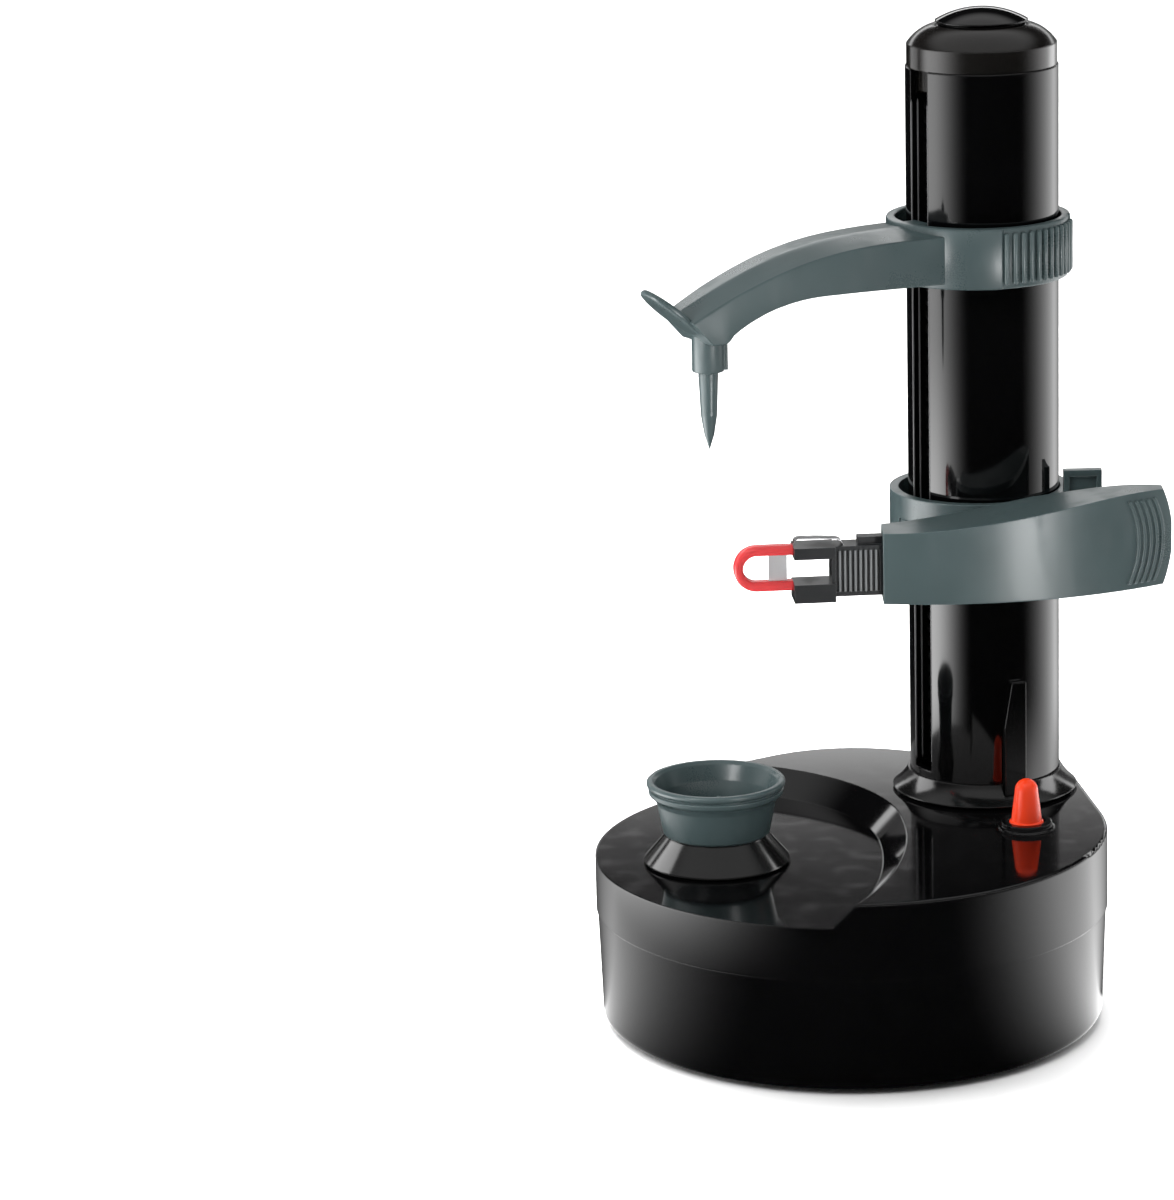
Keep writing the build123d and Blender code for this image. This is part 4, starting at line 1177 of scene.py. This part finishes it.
@dataclass
class Studio:
    """Camera, floor, lamps and world."""

    shop: Workshop
    turn: float = VIEW_TURN
    pitch: float = math.radians(14.41)
    roll: float = math.radians(-1.43)
    stand: Point = (-0.1142, -1.3928, 0.4717)
    lens: float = 150.0
    base_r: float = 0.073
    floor_half: float = 9.0
    far_cards: Flat = (8.5, 2.8)
    near_cards: Flat = (1.7, 2.6)
    dark_card: float = 0.006

    def spot(self, right: float, away: float, up: float) -> Vector:
        """A place in the shared frame: metres to the right of the tower's axis, behind it and up."""
        return Matrix.Rotation(-self.turn, 3, "Z") @ Vector((right, away, up)) + self.shop.tower

    def camera(self) -> None:
        """Sets the camera at the photograph's angle."""
        data = bpy.data.cameras.new("studio_camera")
        data.sensor_fit, data.sensor_height = "VERTICAL", 36.0
        data.lens, data.clip_end = self.lens, 30.0
        made = add_object("studio_camera", data)
        made.matrix_world = (
            Matrix.Translation(self.spot(*self.stand))
            @ Matrix.Rotation(-self.turn, 4, "Z")
            @ Matrix.Rotation(math.pi / 2 - self.pitch, 4, "X")
            @ Matrix.Rotation(self.roll, 4, "Z")
        )
        bpy.context.scene.camera = made

    def floor(self) -> None:
        """Lays a plain pale floor, which glows only in reflections: painted reflection cards."""
        mesh = bmesh.new()
        bmesh.ops.create_grid(mesh, x_segments=8, y_segments=8, size=self.floor_half)
        data = bpy.data.meshes.new("studio_floor")
        mesh.to_mesh(data)
        mesh.free()
        material = bpy.data.materials.new("studio_floor")
        material.use_nodes = True
        sheet = ShaderSheet(material.node_tree)
        patch = sheet.noise(900.0, 2.0)
        colour = sheet.mix(patch, (0.9, 0.9, 0.9), (0.92, 0.92, 0.92))
        plain = {"Roughness": 1.0, "Specular IOR Level": 0.0}
        paper = sheet.add("ShaderNodeBsdfPrincipled", None, {"Base Color": colour, **plain})
        dark = {"Base Color": (0.0, 0.0, 0.0, 1.0), "Emission Strength": 1.0, **plain}
        # emission seen only by glossy rays: painted reflections of cards, not a lamp
        glow = sheet.add("ShaderNodeBsdfPrincipled", None, {"Emission Color": self.mirrored(sheet), **dark})
        mirror = sheet.tap("ShaderNodeLightPath", None, None, "Is Glossy Ray")
        both = sheet.add("ShaderNodeMixShader", None, {0: mirror, 1: paper.outputs[0], 2: glow.outputs[0]})
        sheet.add("ShaderNodeOutputMaterial", None, {"Surface": both.outputs[0]})
        data.materials.append(material)
        made = add_object("studio_floor", data)

    def mirrored(self, sheet: ShaderSheet) -> Tap:
        """Brightness of the floor in glossy pieces: pale cards at the sides, a dark one in front.

        Args:
            sheet: the floor's node tree.

        Returns:
            The brightness.
        """
        where = sheet.add("ShaderNodeNewGeometry").outputs["Position"]
        reach, ahead, right = self.bearing(sheet, where, self.shop.tower)
        far_left = self.far_cards[0] * ahead.ramp(0.92, 0.12) * ahead.ramp(-0.45, -0.05)
        far_left = far_left * reach.ramp(0.55, 1.0, 1.0, 0.5)
        far_right = self.far_cards[1] * ahead.ramp(0.6, -0.5) * ahead.ramp(-0.98, -0.6, 0.1, 1.0)
        far = far_left + (far_right - far_left) * right.ramp(-0.15, 0.15)
        close, ahead, right = self.bearing(sheet, where, self.shop.middle("base_shell"))
        near_left = self.near_cards[0] * ahead.ramp(0.82, -0.15)
        near_right = self.near_cards[1] * ahead.ramp(0.86, 0.0)
        # darker where the base's wall mirrors the floor near its foot: painted shade in the reflection
        aside = ((right * right) ** 0.5 * close - self.base_r) / (-1.0 * ahead * close)
        grazed = aside.ramp(0.1, 1.4, 0.06, 1.0)
        edge = grazed + (1.0 - grazed) * ahead.ramp(-0.1, 0.0)
        near = (near_left + (near_right - near_left) * right.ramp(-0.1, 0.1)) * edge
        return self.dark_card + near + (far - near) * reach.ramp(0.2, 0.34)

    def bearing(self, sheet: ShaderSheet, where: Socket, axis: Vector) -> tuple[Tap, Tap, Tap]:
        """How a point of the floor lies from an upright axis.

        Args:
            sheet: the floor's node tree.
            where: the point.
            axis: foot of the axis.

        Returns:
            Its distance, and how far it lies to the front and to the right, both from -1 to 1.
        """
        arm = sheet.add("ShaderNodeVectorMath", {"operation": "SUBTRACT"}, {0: where, 1: axis}).outputs[0]
        reach = sheet.tap("ShaderNodeVectorMath", {"operation": "LENGTH"}, {0: arm}, "Value")
        ahead = sheet.dot(arm, self.spot(0.0, -1.0, 0.0) - self.shop.tower) / reach
        right = sheet.dot(arm, self.spot(1.0, 0.0, 0.0) - self.shop.tower) / reach
        return reach, ahead, right

    def lamp(self, plan: Lamp) -> None:
        """Hangs one soft lamp, out of the camera's sight.

        Args:
            plan: its place, size and strength.
        """
        data = bpy.data.lights.new(plan.name, "AREA")
        data.shape, data.size, data.size_y, data.energy = "RECTANGLE", plan.wide, plan.tall, plan.watts
        made = add_object(plan.name, data)
        where = self.spot(plan.right, plan.away, plan.up)
        target = self.shop.tower + Vector((0.0, 0.0, plan.aim))
        turned = (target - where).to_track_quat("-Z", "Y").to_matrix().to_4x4()
        made.matrix_world = Matrix.Translation(where) @ turned
        made.visible_camera = False
        made.visible_glossy = bool(plan.only)
        lit = [item for look in plan.only for item in self.shop.worn[look]]
        if plan.floor_only:
            lit = [bpy.data.objects["studio_floor"]]
        if lit:
            group = bpy.data.collections.new(plan.name + "_lit")
            for item in lit:
                group.objects.link(item)
            made.light_linking.receiver_collection = group

    def world(self) -> None:
        """Lights the room: even for matt light, with a pale low band and a pale top in reflections."""
        world = bpy.data.worlds.new("studio_world")
        bpy.context.scene.world = world
        world.use_nodes = True
        sheet = ShaderSheet(world.node_tree)
        heading = sheet.add("ShaderNodeTexCoord").outputs["Generated"]
        height = sheet.dot(heading, (0.0, 0.0, 1.0))
        band = height.ramp(0.301, 0.285, 0.0, 0.2) + 2.4 * height.ramp(0.287, 0.27) * height.ramp(0.17, 0.24)
        shown = 0.01 + band * height.ramp(0.1, 0.2, 0.7, 1.0) + height.ramp(0.55, 0.8, 0.0, 0.7)
        even = 0.16 + height.ramp(0.4, 0.8, 0.0, 0.3)
        paths = sheet.add("ShaderNodeLightPath")
        seen = Tap(sheet, paths.outputs["Is Camera Ray"])
        mirror = Tap(sheet, paths.outputs["Is Glossy Ray"])
        room = even + (shown - even) * mirror
        strength = seen + (1.0 - seen) * room
        back = sheet.add("ShaderNodeBackground", None, {"Color": strength, "Strength": 1.0})
        sheet.add("ShaderNodeOutputWorld", None, {"Surface": back.outputs[0]})

    def light(self) -> None:
        """Hangs the lamps and lights the room."""
        self.world()
        for plan in (
            Lamp("lamp_left", -0.75, 0.15, 0.25, 0.9, 0.8, 9.0),
            Lamp("lamp_right", 0.6, 0.4, 0.25, 0.6, 0.8, 6.0),
            Lamp("lamp_top", -0.2, 0.5, 1.3, 1.4, 1.4, 34.0, floor_only=True),
            Lamp("lamp_back", -0.2, 1.9, 1.6, 2.6, 1.8, 50.0, aim=0.0, floor_only=True),
            Lamp("lamp_sky", -0.2, 0.5, 1.3, 1.4, 1.4, 10.0),
            Lamp("lamp_front", -0.5, -0.9, 1.3, 0.8, 0.8, 12.0),
            Lamp("lamp_lever", 0.204, -0.46, 0.085, 0.1, 0.15, 1.1, only=LEVER_LOOKS),
            Lamp("lamp_arm", -0.19, -0.17, 0.2, 0.06, 0.08, 0.22, 0.2, (Look.SLATE, Look.GRIP_HIGHLIGHT)),
            Lamp("lamp_skirt_left", -0.46, 0.13, 0.29, 0.25, 0.2, 0.8, 0.06, (Look.SKIRT,)),
            Lamp("lamp_skirt_right", 0.46, 0.1, 0.28, 0.2, 0.2, 0.6, 0.06, (Look.SKIRT,)),
            Lamp("lamp_cap_left", -0.44, 0.37, 0.115, 0.25, 0.25, 0.24, 0.265, (Look.CAP,)),
            Lamp("lamp_cap_right", 0.44, 0.37, 0.115, 0.25, 0.25, 0.28, 0.265, (Look.CAP,)),
            Lamp("lamp_ridge", -0.35, 0.6, 0.54, 1.2, 0.15, 1.1, 0.21, (Look.SLATE,)),
        ):
            self.lamp(plan)


def main() -> None:
    """Builds the sub-assemblies in order, then camera and light."""
    logging.basicConfig(level=logging.INFO, format="%(name)s: %(message)s")
    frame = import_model()
    bpy.context.scene.view_settings.view_transform = "Standard"
    shop = Workshop(frame)
    for kind in (BaseHousing, SwitchGroup, DriveTrain, Tower, CupDrive, Carriage, BladeLever, UpperArm):
        part = kind(shop)
        part.build()
        part.dress()
    studio = Studio(shop)
    studio.camera()
    studio.floor()
    studio.light()


if __name__ == "__main__":
    main()
